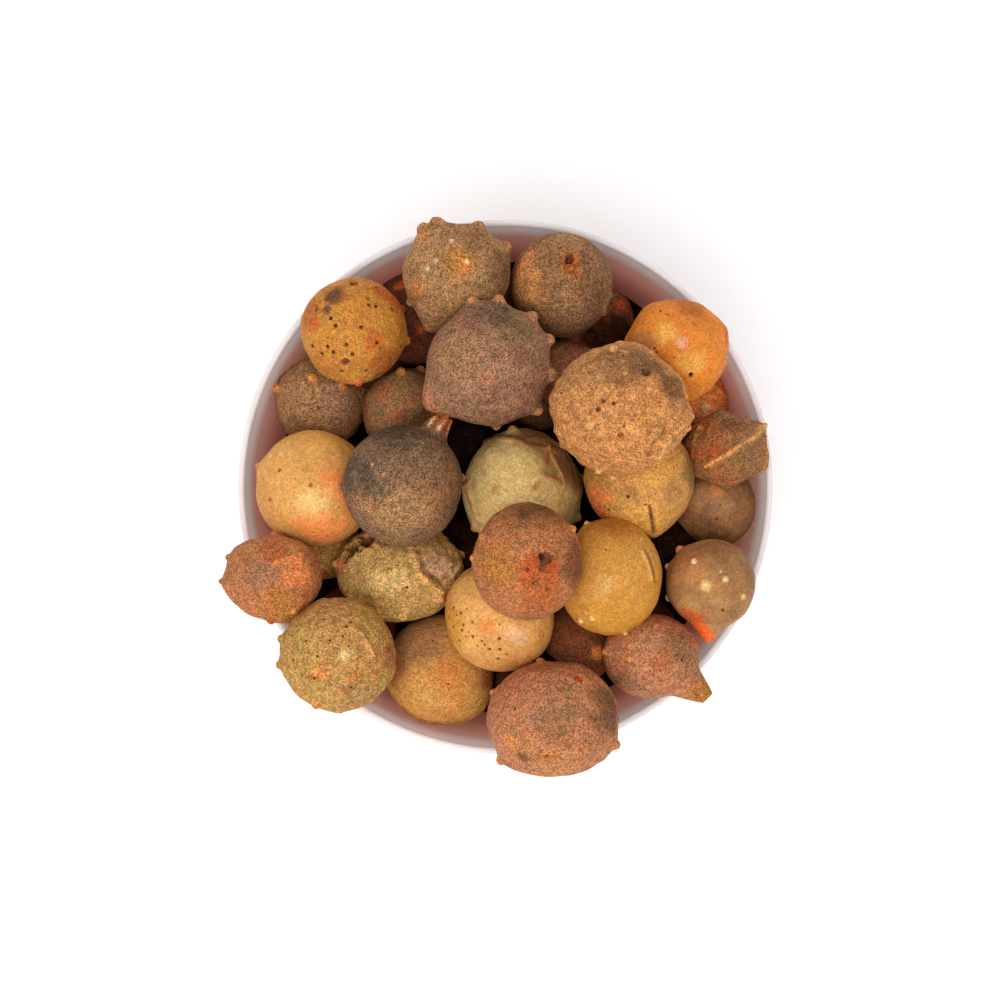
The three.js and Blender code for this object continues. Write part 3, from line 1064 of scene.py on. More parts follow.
# From the lowest up: each gall is laid on those before it.
LAID = (
    # The two beds are toned soot-black: painted shade under the heap.
    Gall("bed_south", (-7.2, -11.1), 12.4, tone=Tone.SOOT, second=Tone.LOAM, hidden=True),
    Gall("bed_west", (-8.3, 8.9), 12.4, tone=Tone.SOOT, second=Tone.SOOT, hidden=True),
    Gall(
        "brown_ridged", (-33.5, 15.5), 16.8, Skin.FELTED, Tone.CORK, Tone.TAUPE, wrinkles=0.12,
        knobs=horns((-0.88, 0.27), (-0.13, 0.47), (0.47, 0.31), (0.95, 0.29)) + horns((-0.3, 0.35), size=0.6),
        creases=(Crease(((-0.03, 0.33), (0.03, -0.06)), 0.55, 0.4, Tone.TAN, 0.9),),
        blots=(Blot(Tone.MAUVE, 0.47, -0.04, 0.42, 0.85), Blot(Tone.BARK, -0.4, -0.6, 0.5, 0.5)),
    ),
    Gall(
        "taupe_smooth", (37.4, -3.3), 16.0, Skin.WAXY, Tone.UMBER, Tone.TAUPE,
        pits=(Pit(0.06, -0.3, 0.3, 0.3),),
        blots=(
            Blot(Tone.DRIFT, -0.05, 0.1, 0.42, 0.6), Blot(Tone.ORANGE, 0.08, 0.31, 0.15, 0.7),
            # The bark blot low down is painted shadow under it.
            Blot(Tone.BARK, 0.1, -0.8, 0.55, 0.75),
        ),
    ),
    # Its flame tone is brightened beyond its own orange: painted light, where it lies deep among the others.
    Gall(
        "rust_tucked", (33.7, 15.5), 13.9, Skin.BLUSHED, Tone.FLAME, Tone.ORANGE, wrinkles=0.15,
        blots=(
            Blot(Tone.UMBER, 0.55, 0.55, 0.3, 0.7), Blot(Tone.CREAM, 0.36, -0.19, 0.14, 0.7),
            Blot(Tone.FLAME, 0.8, 0.3, 0.2, 0.6),
        ),
    ),
    Gall(
        "russet_spurred", (-18.4, 13.6), 15.2, Skin.BLUSHED, Tone.CORK, Tone.RUSSET, wrinkles=0.12,
        knobs=horns((-0.05, 0.88), (0.38, 0.93), size=1.1),
        blots=(
            Blot(Tone.COPPER, -0.5, 0.47, 0.35, 0.8), Blot(Tone.RUST, 0.13, 0.2, 0.2, 0.7),
            Blot(Tone.RUST, -0.14, -0.08, 0.2, 0.7), Blot(Tone.BARK, 0.5, -0.4, 0.4, 0.6),
        ),
    ),
    Gall(
        "amber_mottled", (-12.1, -33.0), 20.1, Skin.MOTTLED, Tone.OCHRE, Tone.ORANGE,
        lumps=0.2, wrinkles=0.15,
        corners=(Corner(0.8, -0.8, 1.2, 5.0),),
        facets=(Facet(0.0, 0.35, 0.5), Facet(0.35, -0.45, 0.4)),
        blots=(
            Blot(Tone.CORK, -0.2, 0.65, 0.62, 0.85), Blot(Tone.ORANGE, 0.23, -0.3, 0.5, 0.9),
            # The russet blot on the left is painted shadow from the khaki gall beside it.
            Blot(Tone.APRICOT, -0.15, -0.5, 0.25, 0.5), Blot(Tone.RUSSET, -0.8, -0.08, 0.42, 0.85),
            Blot(Tone.RUST, 0.9, -0.06, 0.3, 0.8), Blot(Tone.APRICOT, 0.15, -0.6, 0.2, 0.5),
        ),
    ),
    Gall(
        "green_veined", (3.0, -0.5), 21.4, Skin.WAXY, Tone.SAND, Tone.KHAKI, lumps=0.2, wrinkles=0.2,
        knobs=horns((-0.15, 0.95), (0.91, -0.45), (-0.93, 0.03), (-0.76, -0.62)),
        blots=(
            Blot(Tone.TAUPE, -0.4, 0.97, 0.35, 0.7), Blot(Tone.RUSSET, 0.88, 0.25, 0.42, 0.85),
            Blot(Tone.TAUPE, 0.4, 0.85, 0.4, 0.9), Blot(Tone.UMBER, 0.62, 0.5, 0.32, 0.8),
            Blot(Tone.SAND, -0.25, 0.2, 0.48, 0.95),
            Blot(Tone.RUST, -0.48, -0.01, 0.12, 0.6), Blot(Tone.WINE, 0.68, 0.13, 0.12, 0.7),
        ),
        creases=(
            Crease(
                ((-0.6, 0.8), (-0.29, 0.84), (0.1, 0.75), (0.42, 0.68), (0.71, 0.62)),
                0.6, 0.5, Tone.RUSSET, 0.95,
            ),
            Crease(((0.42, 0.68), (0.36, 0.26), (0.19, 0.03)), 0.55, 0.42, Tone.RUST, 0.95),
            Crease(((0.36, 0.26), (0.68, 0.13)), 0.5, 0.42, Tone.RUST, 0.95),
            Crease(((0.42, 0.68), (0.62, 0.35), (0.72, 0.05)), 0.4, 0.36, Tone.STRAW, 0.8),
            Crease(((-0.9, 0.1), (-0.85, -0.25), (-0.7, -0.55)), 0.4, 0.4, Tone.COPPER, 0.8),
        ),
    ),
    Gall(
        "ochre_split", (23.9, 1.3), 19.8, Skin.MOTTLED, Tone.OCHRE, Tone.MUSTARD, wrinkles=0.1,
        corners=(Corner(0.27, -0.93, 1.1, 2.6),),
        pits=(Pit(-0.23, -0.32, 0.4, 0.5), Pit(-0.64, -0.49, 0.35, 0.3, tone=Tone.WINE)),
        creases=(Crease(((0.17, -0.48), (0.24, -0.9)), -0.6, 0.28, Tone.SOOT, 0.95, 0.2),),
        blots=(
            Blot(Tone.FLAME, -0.76, -0.32, 0.3, 0.9), Blot(Tone.HONEY, -0.5, -0.55, 0.25, 0.7),
            Blot(Tone.HEATHER, 0.6, -0.15, 0.25, 0.35), Blot(Tone.OLIVE, 0.92, 0.1, 0.35, 0.7),
            Blot(Tone.HONEY, 0.1, -0.75, 0.35, 0.85), Blot(Tone.HONEY, 0.1, 0.1, 0.35, 0.3),
            Blot(Tone.UMBER, -0.17, -0.22, 0.1, 0.5),
        ),
    ),
    Gall(
        "apricot_smooth", (-34.3, -0.4), 21.0, Skin.WAXY, Tone.APRICOT, Tone.OCHRE,
        knobs=(Knob(-0.92, 0.38, Tone.TAN, 0.8),),
        pits=rusty_pits((-0.56, 0.32), (-0.02, 0.07), (-0.72, -0.17)) + (Pit(0.05, -0.8, 0.25, 0.25),),
        blots=(
            # The flame blot on the right is partly its orange skin and partly painted light, where the slate
            # gall shades it.
            Blot(Tone.FLAME, 0.68, -0.15, 0.5, 0.85), Blot(Tone.FLAME, 0.15, -0.78, 0.45, 0.8),
            Blot(Tone.HONEY, 0.0, 0.85, 0.45, 0.6), Blot(Tone.TAN, -0.85, -0.15, 0.4, 0.5),
            Blot(Tone.SAND, 0.05, -0.25, 0.3, 0.5),
        ),
    ),
    Gall(
        "khaki_broken", (-19.0, -15.3), 19.9, Skin.WARTY, Tone.KHAKI, Tone.TAN, (1.12, 0.91), Tone.STRAW,
        wrinkles=0.3, lumps=0.14,
        knobs=horns((-0.98, 0.15), (-0.31, -0.8), (0.6, -0.5), (0.06, -0.82), (-0.72, -0.5), size=1.1)
        + horns((0.79, 0.16), (0.29, -0.02), (-0.15, 0.04), (0.43, -0.2), size=0.6),
        corners=corners((-0.9, -0.2), (-0.35, -0.85), (0.6, -0.75), (0.97, 0.1), out=0.5, wide=2.6),
        pits=(
            Pit(-0.76, 0.4, 2.4, 1.4, 0.4, Tone.LOAM, 0.3), Pit(-0.5, 0.62, 1.8, 1.3, 0.35, Tone.LOAM, 0.4),
            Pit(-0.72, 0.46, 0.9, 0.6, 0.0, Tone.SOOT, 0.4), Pit(0.85, 0.58, 2.0, 1.3, 0.3, Tone.SOOT, 0.5),
            Pit(0.13, -0.29, 0.3, 0.3),
        ),
        creases=(
            Crease(((0.2, 0.5), (0.24, 0.3), (0.34, -0.05), (0.65, -0.36)), 0.6, 0.4, Tone.STRAW, 0.75),
            Crease(((0.32, 0.42), (0.42, 0.05), (0.7, -0.22)), -0.45, 0.4, Tone.BARK, 0.6),
            Crease(((0.8, -0.15), (0.92, 0.2)), 0.4, 0.35, Tone.SAND, 0.7),
        ),
        blots=(
            Blot(Tone.FLAME, -0.92, 0.1, 0.16, 0.7), Blot(Tone.RUST, -0.2, 0.68, 0.2, 0.8),
            Blot(Tone.SHELL, 0.64, 0.08, 0.4, 0.9), Blot(Tone.TAUPE, 0.0, 0.55, 0.3, 0.6),
            Blot(Tone.SAND, -0.2, -0.2, 0.3, 0.4),
        ),
        warts=80,
    ),
    Gall(
        "straw_pricked", (-1.0, -23.0), 20.1, Skin.WAXY, Tone.STRAW, Tone.TAN, lumps=0.14, wrinkles=0.08,
        pits=pricks(
            (-0.85, -0.19), (-0.66, -0.15), (-0.69, -0.25), (-0.49, -0.36), (-0.74, -0.44), (-0.93, -0.02),
            (-0.83, 0.16), (-0.71, 0.06), (-0.18, -0.57), (0.0, -0.57), (-0.01, -0.38), (-0.03, -0.74),
            wide=0.36,
        ) + pricks(
            (-0.32, -0.43), (-0.27, -0.49), (-0.78, 0.03), (-0.88, 0.12), (-0.97, 0.07), (-0.6, 0.14),
            (-0.56, -0.28), (-0.62, -0.36), (-0.4, -0.52), (0.12, -0.66), (-0.5, -0.1), (-0.9, -0.3),
            wide=0.24,
        ),
        blots=(
            Blot(Tone.MUSTARD, -0.88, -0.2, 0.42, 0.75), Blot(Tone.MUSTARD, 0.75, -0.35, 0.35, 0.4),
            Blot(Tone.FLAME, -0.25, -0.16, 0.12, 0.7), Blot(Tone.GOLD, 0.1, -0.95, 0.4, 0.5),
            Blot(Tone.BLUSH, 0.33, -0.33, 0.2, 0.2),
        ),
    ),
    Gall(
        "star_ridged", (39.8, 6.8), 12.9, Skin.BLUSHED, Tone.TAUPE, Tone.RUST, (1.05, 0.97), wrinkles=0.32,
        corners=corners(
            (-1.0, 0.08), (-0.78, 0.6), (-0.22, 0.95), (0.85, 0.75), (0.88, -0.5), (-0.07, -1.0),
            (-0.8, -0.66),
            out=1.0, wide=1.7,
        ),
        creases=(
            Crease(((0.86, 0.6), (0.78, 0.41), (0.2, 0.05), (-0.6, -0.49)), 0.8, 0.42, Tone.STRAW, 0.85),
            Crease(((0.9, 0.6), (0.95, 0.1), (0.8, -0.7)), 0.35, 0.4, Tone.ORANGE, 0.6),
            Crease(((-0.7, 0.6), (-0.9, 0.05), (-0.8, -0.6)), 0.35, 0.4, Tone.ORANGE, 0.6),
        ),
        blots=(
            Blot(Tone.BRICK, -0.4, -0.25, 0.42, 0.8), Blot(Tone.OLIVE, 0.4, -0.4, 0.4, 0.5),
            Blot(Tone.BARK, 0.05, 0.7, 0.42, 0.7),
        ),
    ),
    Gall(
        "orange_faceted", (30.7, 24.5), 18.2, Skin.WAXY, Tone.TANGERINE, Tone.TANGERINE,
        lumps=0.14, wrinkles=0.12,
        corners=corners((-0.68, 0.86), (0.95, 0.44), (0.18, -0.91), (-1.06, 0.0), out=0.7, wide=3.0),
        facets=(
            Facet(-0.3, 0.32, 1.0), Facet(0.42, -0.2, 1.0), Facet(0.35, 0.72, 0.9), Facet(0.85, 0.15, 0.7),
            Facet(-0.6, -0.35, 0.9), Facet(-0.1, -0.8, 0.8),
        ),
        pits=(
            Pit(0.25, -0.55, 0.55, 0.6, 0.05),
            *pricks((-0.36, 0.75), (-0.23, 0.71), (-0.51, 0.0), (-0.46, -0.08)),
        ),
        blots=(
            # The rust blot on top and the ember blot on the right are partly its own skin and partly painted
            # shade.
            Blot(Tone.RUST, 0.26, 0.85, 0.45, 0.8), Blot(Tone.COPPER, -0.72, 0.05, 0.35, 0.8),
            Blot(Tone.HONEY, -0.3, 0.32, 0.28, 0.75), Blot(Tone.HONEY, 0.28, -0.32, 0.32, 0.8),
            Blot(Tone.EMBER, 0.95, 0.35, 0.32, 0.6), Blot(Tone.BLUSH, 0.03, 0.14, 0.14, 0.3),
        ),
    ),
    Gall(
        "plum_beaked", (26.0, -30.2), 16.1, Skin.BLUSHED, Tone.PLUM, Tone.TAUPE, (1.08, 0.93),
        knobs=horns((-0.91, 0.1), (-0.46, -0.03), size=0.8),
        stalk=Stalk(1.11, -0.96, 4.4, 2.8, 1.6, Tone.SADDLE),
        pits=(
            Pit(0.62, -0.07, 0.3, 0.3),
            *rusty_pits((0.16, -0.32), (-0.06, 0.14), (0.3, 0.1), wide=0.3, tone=Tone.EMBER),
        ),
        blots=(
            Blot(Tone.RUST, 0.2, -0.1, 0.25, 0.5), Blot(Tone.RUST, 0.3, 0.85, 0.3, 0.5),
            Blot(Tone.SLATE, -0.57, -0.5, 0.45, 0.7), Blot(Tone.UMBER, 0.7, 0.2, 0.45, 0.75),
            Blot(Tone.DRIFT, -0.15, 0.3, 0.25, 0.4),
        ),
    ),
    Gall(
        "mustard_plain", (18.6, -16.0), 19.2, Skin.WAXY, Tone.MUSTARD, Tone.OCHRE, (0.96, 1.07), Tone.CREAM,
        wrinkles=0.05,
        knobs=horns((-0.44, 0.89), (-0.55, -0.72), (-0.35, -0.67), (0.28, -0.95), (0.5, -0.87), size=0.6),
        creases=(
            Crease(((0.68, 0.5), (0.8, 0.24), (0.87, -0.05)), -0.6, 0.32, Tone.WINE, 0.95, 0.3),
            Crease(((0.6, 0.46), (0.72, 0.22), (0.78, -0.03)), 0.25, 0.3, Tone.SAND, 0.6, 0.3),
        ),
        blots=(
            # The saddle blot on top is painted shade from the galls above it, and the faint cream spot is a
            # painted highlight.
            Blot(Tone.SADDLE, 0.1, 0.85, 0.5, 0.9), Blot(Tone.CREAM, -0.11, -0.1, 0.2, 0.2),
            Blot(Tone.ORANGE, 0.18, 0.63, 0.12, 0.7), Blot(Tone.GOLD, 0.2, -0.5, 0.4, 0.4),
            Blot(Tone.SADDLE, -0.85, 0.1, 0.3, 0.4),
        ),
    ),
    Gall(
        "olive_beaked", (36.7, -17.3), 15.9, Skin.WAXY, Tone.CORK, Tone.KHAKI, tip=Tone.CREAM, wrinkles=0.08,
        knobs=(
            Knob(-0.76, 0.83, Tone.FLAME, 1.0), Knob(-0.4, 0.5, None, 0.7), Knob(0.27, 0.12, None, 0.7),
            Knob(0.68, -0.27, None, 0.7), Knob(-0.96, 0.38, None, 0.7),
        ),
        stalk=Stalk(-0.07, -1.33, 2.6, 2.6, 0.5, Tone.SCARLET),
        pits=(Pit(0.23, -0.58, 0.28, 0.3),),
        blots=(
            Blot(Tone.TAN, -0.4, 0.2, 0.4, 0.7), Blot(Tone.SAND, -0.16, -0.05, 0.14, 0.6),
            Blot(Tone.UMBER, 0.2, 0.85, 0.5, 0.7), Blot(Tone.EMBER, -0.45, -0.75, 0.3, 0.9),
            Blot(Tone.UMBER, 0.9, 0.1, 0.4, 0.6), Blot(Tone.OLIVE, 0.5, -0.7, 0.3, 0.6),
            Blot(Tone.SCARLET, -0.2, -0.95, 0.2, 0.9),
        ),
    ),
    Gall(
        "mauve_edge", (-41.3, -16.3), 16.3, Skin.BLUSHED, Tone.COPPER, Tone.TAN, (1.03, 0.92), wrinkles=0.15,
        knobs=horns(
            (-0.96, 0.5), (-1.0, -0.06), (-0.71, -0.52), (-0.31, -0.7), (-0.06, -0.78), (0.44, -0.74),
            size=0.75,
        )
        + (Knob(-0.04, -0.93, Tone.EMBER, 0.9),),
        corners=corners((-0.75, 0.72), (0.6, 0.75), (-0.95, -0.2), (0.3, -0.95), out=0.8, wide=2.6),
        creases=(Crease(((0.1, 0.38), (0.3, 0.47), (0.6, 0.55)), 0.8, 0.5, Tone.FLAME, 0.85),),
        blots=(
            Blot(Tone.MAUVE, -0.25, 0.1, 0.4, 0.8), Blot(Tone.RUST, 0.0, 0.65, 0.3, 0.6),
            Blot(Tone.FLAME, 0.6, 0.1, 0.35, 0.5), Blot(Tone.SADDLE, 0.02, -0.45, 0.35, 0.6),
            Blot(Tone.GOLD, 0.3, -0.8, 0.35, 0.6),
        ),
    ),
    Gall(
        "khaki_warty", (-29.7, -29.8), 20.3, Skin.WARTY, Tone.BRASS, Tone.TAN, tip=Tone.ORANGE, wrinkles=0.26,
        knobs=horns((-0.79, 0.72), (-1.0, 0.26), (-0.96, -0.16), (-0.36, -0.8), (0.27, -0.35), (-0.39, -0.36))
        + horns((0.63, -0.35), (-0.68, -0.55), (0.1, -0.6), size=0.8),
        creases=(Crease(((0.4, 0.42), (0.52, 0.25), (0.65, 0.0)), 0.7, 0.36, Tone.STRAW, 0.8),),
        pits=pricks(
            (-0.79, 0.34), (-0.54, 0.26), (-0.22, 0.64), (0.17, 0.53), (0.24, 0.59), (-0.12, 0.28),
            (0.11, 0.36), (-0.34, 0.0), (-0.59, -0.33), (0.24, -0.53), (-0.75, -0.08), wide=0.28,
        ),
        blots=(
            Blot(Tone.TAN, 0.45, 0.2, 0.3, 0.6), Blot(Tone.TAN, 0.0, 0.85, 0.45, 0.6),
            # The russet blot on the right is partly its own skin and partly painted shade.
            Blot(Tone.RUSSET, 0.92, 0.0, 0.4, 0.6), Blot(Tone.CORK, 0.3, -0.85, 0.4, 0.4),
            # The sand spot at the middle is partly its pale skin and partly a painted highlight.
            Blot(Tone.FLAME, -0.29, -0.27, 0.12, 0.6), Blot(Tone.SAND, 0.11, 0.0, 0.2, 0.6),
        ),
        warts=170,
    ),
    Gall(
        "yellow_speckled", (-27.2, 27.9), 18.8, Skin.SPECKLED, Tone.GOLD, Tone.ORANGE, tip=Tone.EMBER,
        lumps=0.14, wrinkles=0.15,
        knobs=horns((1.0, -0.19), (0.1, -0.93)),
        pits=(
            Pit(-0.13, -0.59, 0.7, 0.3, 0.15, Tone.WINE, 0.3),
            Pit(0.01, 0.87, 0.8, 0.35, 0.15, Tone.WINE, 0.3),
            *pricks(
                (-0.3, 0.06), (0.18, 0.03), (-0.39, 0.2), (0.32, 0.45), (0.45, 0.43), (-0.75, -0.31),
                (-0.46, -0.33), (-0.1, -0.3), (0.48, -0.26), (-0.57, -0.46), (-0.35, -0.44), (0.01, -0.48),
                wide=0.42,
            ),
        ),
        blots=(
            Blot(Tone.BARK, -0.35, 0.62, 0.24, 0.95), Blot(Tone.CINDER, -0.46, 0.38, 0.13, 0.9),
            Blot(Tone.EMBER, 0.52, 0.72, 0.22, 0.8), Blot(Tone.EMBER, 0.8, 0.5, 0.18, 0.7),
            Blot(Tone.RUST, -0.85, 0.35, 0.3, 0.7), Blot(Tone.EMBER, -0.72, 0.07, 0.16, 0.7),
            Blot(Tone.EMBER, 0.4, -0.22, 0.16, 0.6), Blot(Tone.RUST, 0.6, -0.6, 0.3, 0.75),
            Blot(Tone.WINE, 0.45, -0.85, 0.12, 0.6), Blot(Tone.GOLD, -0.1, -0.15, 0.3, 0.4),
            Blot(Tone.SADDLE, -0.6, -0.65, 0.3, 0.5),
        ),
    ),
    Gall(
        "open_crown", (10.1, 36.2), 18.5, Skin.FELTED, Tone.TAUPE, Tone.SLATE,
        pits=(
            Pit(0.15, 0.38, 2.0, 0.5, 0.55, Tone.RUST, 0.15, 1.5),
            Pit(0.14, 0.5, 1.0, 1.2, 0.0, Tone.WINE, 0.3, 1.2),
        ),
        creases=crater_ribs((0.14, 0.36), (0.2, 0.32), 7)
        + (Crease(((0.78, -0.55), (0.82, -0.4), (0.95, -0.2)), 0.7, 0.4, Tone.UMBER, 0.5),),
        blots=(
            Blot(Tone.FLAME, -0.73, 0.42, 0.35, 0.5), Blot(Tone.FAWN, -0.75, 0.05, 0.45, 0.9),
            Blot(Tone.HEATHER, 0.45, 0.44, 0.2, 0.6), Blot(Tone.BARK, 0.7, -0.2, 0.35, 0.5),
            Blot(Tone.DUN, 0.12, 0.9, 0.35, 0.7), Blot(Tone.TAN, 0.08, -0.22, 0.14, 0.5),
        ),
    ),
    Gall(
        "olive_knobbed", (-8.8, 38.1), 18.6, Skin.FELTED, Tone.DUN, Tone.TAUPE, (1.02, 0.93), Tone.TAN,
        wrinkles=0.08,
        knobs=horns((-0.31, 0.94), (0.39, 0.9), (0.88, 0.52), (-0.56, 0.8), size=1.4)
        + horns((-0.07, 0.61), (-0.35, 0.21), (0.2, 0.19), (-0.5, 0.06), tone=Tone.CREAM, size=0.6),
        corners=corners((-0.45, 0.88), (0.4, 0.92), (0.92, 0.45), out=0.4, wide=2.4),
        stalk=Stalk(-0.5, -1.21, 2.9, 4.0, 1.2, Tone.TAUPE),
        blots=(
            Blot(Tone.AMBER, 0.03, 0.22, 0.3, 0.75), Blot(Tone.ORANGE, 0.15, 0.1, 0.18, 0.5),
            Blot(Tone.ORANGE, -0.78, -0.36, 0.25, 0.6), Blot(Tone.OLIVE, 0.3, -0.6, 0.4, 0.4),
            Blot(Tone.ORANGE, -0.6, 0.7, 0.2, 0.5), Blot(Tone.UMBER, 0.45, 0.6, 0.3, 0.5),
            Blot(Tone.BARK, 0.85, 0.0, 0.4, 0.6),
        ),
    ),
    Gall(
        "plum_broad", (8.4, -41.2), 21.7, Skin.BLUSHED, Tone.PLUM, Tone.TAN, (1.06, 0.97), wrinkles=0.12,
        facets=(Facet(-0.1, 0.99, 0.7),),
        knobs=horns((-0.82, -0.72), (1.0, -0.46), tone=Tone.ORANGE, size=1.1)
        + horns((-0.94, 0.45), size=0.7),
        corners=corners((0.75, -0.66), (-0.62, -0.78), out=0.6, wide=3.4),
        pits=(
            Pit(0.37, 0.72, 1.0, 0.4, 0.25, Tone.EMBER, 0.35), Pit(-0.1, -0.6, 0.5, 0.3, 0.2, Tone.WINE),
            *rusty_pits((0.42, -0.48), (0.59, -0.41), (0.92, -0.18), wide=0.4, tone=Tone.EMBER),
        ),
        blots=(
            Blot(Tone.CORK, 0.15, 0.45, 0.3, 0.7), Blot(Tone.MAUVE, -0.25, 0.1, 0.35, 0.7),
            Blot(Tone.TAN, 0.06, -0.9, 0.42, 0.8), Blot(Tone.FLAME, -0.1, -0.57, 0.13, 0.7),
            Blot(Tone.ORANGE, -0.66, -0.34, 0.12, 0.7), Blot(Tone.OLIVE, 0.1, -0.05, 0.3, 0.5),
            # The bark blot on the right side is partly its own skin and partly painted shade.
            Blot(Tone.BARK, 0.82, 0.12, 0.45, 0.8), Blot(Tone.BARK, -0.46, -0.62, 0.16, 0.7),
        ),
    ),
    Gall(
        "violet_spurred", (-3.3, 21.4), 21.1, Skin.FELTED, Tone.MAUVE, Tone.UMBER,
        tip=Tone.TAN, wrinkles=0.06,
        knobs=horns(
            (-0.23, 0.97), (0.18, 0.97), (0.67, 0.73), (0.93, 0.39), (0.97, -0.15), (0.76, -0.66), size=1.35,
        ),
        corners=corners(
            (-0.23, 0.97), (0.18, 0.97), (0.68, 0.73), (0.93, 0.39), (0.97, -0.15), (0.76, -0.66),
            out=0.75, wide=2.2,
        ),
        stalk=Stalk(-1.06, -0.69, 2.8, 4.2, 1.2, Tone.PLUM),
        blots=(
            # The olive blot on the upper right and the cinder blot on top are partly its own skin and partly
            # painted shade.
            Blot(Tone.OLIVE, 0.42, 0.6, 0.4, 0.7), Blot(Tone.CINDER, 0.0, 0.85, 0.3, 0.6),
            Blot(Tone.CORK, -0.3, 0.05, 0.45, 0.6), Blot(Tone.WINE, 0.53, -0.85, 0.35, 0.6),
            Blot(Tone.HEATHER, -0.31, 0.65, 0.25, 0.6), Blot(Tone.HEATHER, 0.05, -0.5, 0.25, 0.5),
            Blot(Tone.HEATHER, 0.55, 0.18, 0.2, 0.5), Blot(Tone.COPPER, 0.0, -0.28, 0.14, 0.6),
        ),
    ),
    Gall(
        "tan_warty", (19.8, 13.4), 23.3, Skin.WARTY, Tone.FAWN, Tone.TAN, (1.04, 0.97), Tone.STRAW, fine=7,
        wrinkles=0.52,
        knobs=horns((-0.07, 0.87), (-0.28, -0.91), (-0.41, -0.23), size=0.9)
        + (Knob(0.94, -0.27, Tone.FLAME, 0.9),),
        corners=corners((0.98, -0.1), (0.63, -0.6), (-0.95, 0.2), (0.3, 0.95), out=0.8, wide=2.6),
        pits=(
            Pit(0.01, -0.39, 0.6, 0.3, 0.25, Tone.RUST), Pit(-0.31, 0.0, 0.5, 0.35, 0.15, Tone.BARK),
            Pit(-0.24, 0.13, 0.4, 0.3, 0.1, Tone.BARK), Pit(-0.09, 0.09, 0.35, 0.3, 0.1, Tone.BARK),
            Pit(0.4, 0.55, 0.8, 0.4, 0.2, Tone.BARK, 0.35),
        ),
        creases=(
            Crease(((0.66, -0.29), (0.5, -0.5), (0.4, -0.68)), -0.5, 0.32, Tone.UMBER, 0.8),
            Crease(((0.98, -0.05), (0.7, -0.4), (0.45, -0.75)), 0.5, 0.36, Tone.STRAW, 0.6),
        ),
        blots=(
            # The bark and umber blots on its top and upper right are partly its own darker skin and partly
            # painted shade.
            Blot(Tone.OLIVE, -0.24, 0.48, 0.16, 0.6), Blot(Tone.BARK, 0.42, 0.7, 0.35, 0.8),
            Blot(Tone.CORK, -0.65, 0.6, 0.4, 0.4), Blot(Tone.BARK, 0.75, 0.36, 0.3, 0.8),
            Blot(Tone.UMBER, 0.05, 0.82, 0.45, 0.9), Blot(Tone.MUSTARD, 0.35, -0.15, 0.2, 0.5),
        ),
        warts=260, wart_mm=(0.35, 0.95), lumps=0.26,
    ),
    Gall(
        "slate_stalked", (-18.2, 0.3), 21.2, Skin.FELTED, Tone.SLATE, Tone.CORK, tip=Tone.TAN,
        stalk=Stalk(0.62, 1.03, 3.4, 2.0, 2.6, Tone.RUST, 0.7),
        knobs=horns(
            (-0.48, 0.34), (-0.29, 0.18), (-0.5, -0.24), (-0.55, -0.43), (0.19, -0.29), (0.62, 0.34),
            (-0.24, -0.05), (0.4, -0.6), size=0.45,
        ),
        creases=(Crease(((-0.1, 0.72), (0.14, 0.75), (0.35, 0.7)), 0.3, 0.3, Tone.CORK, 0.4),),
        blots=(
            # The dun blot low down is partly its paler skin and partly painted light, where it is lit most.
            Blot(Tone.CINDER, 0.0, 0.9, 0.55, 0.95), Blot(Tone.DUN, 0.0, -0.5, 0.5, 0.8),
            Blot(Tone.TAUPE, 0.8, 0.0, 0.4, 0.7), Blot(Tone.CINDER, -0.8, 0.1, 0.38, 0.75),
            Blot(Tone.UMBER, 0.2, 0.1, 0.4, 0.4), Blot(Tone.COPPER, -0.5, -0.35, 0.1, 0.5),
        ),
    ),
    Gall(
        "red_scarred", (3.8, -13.2), 20.0, Skin.BLUSHED, Tone.COPPER, Tone.TAUPE, (0.97, 1.03),
        knobs=horns((-0.95, 0.07), (-0.8, 0.43), (0.8, 0.55), size=0.8),
        pits=(
            Pit(0.31, 0.04, 1.5, 0.5, 0.3, Tone.WINE, 0.3), Pit(0.24, 0.1, 0.6, 0.4, 0.0, Tone.SOOT, 0.3),
            *rusty_pits((0.1, -0.35), (0.35, -0.45), (0.0, -0.12), wide=0.35, tone=Tone.WINE),
        ),
        blots=(
            Blot(Tone.BRICK, 0.22, -0.1, 0.36, 0.9), Blot(Tone.RUST, 0.25, -0.55, 0.42, 0.8),
            # The bark blot on top and the wine blot on the right are partly its own darker skin and partly
            # painted shade.
            Blot(Tone.BARK, 0.0, 0.85, 0.5, 0.85), Blot(Tone.WINE, 0.88, 0.05, 0.38, 0.8),
            Blot(Tone.SADDLE, -0.6, -0.1, 0.4, 0.6),
        ),
    ),
)
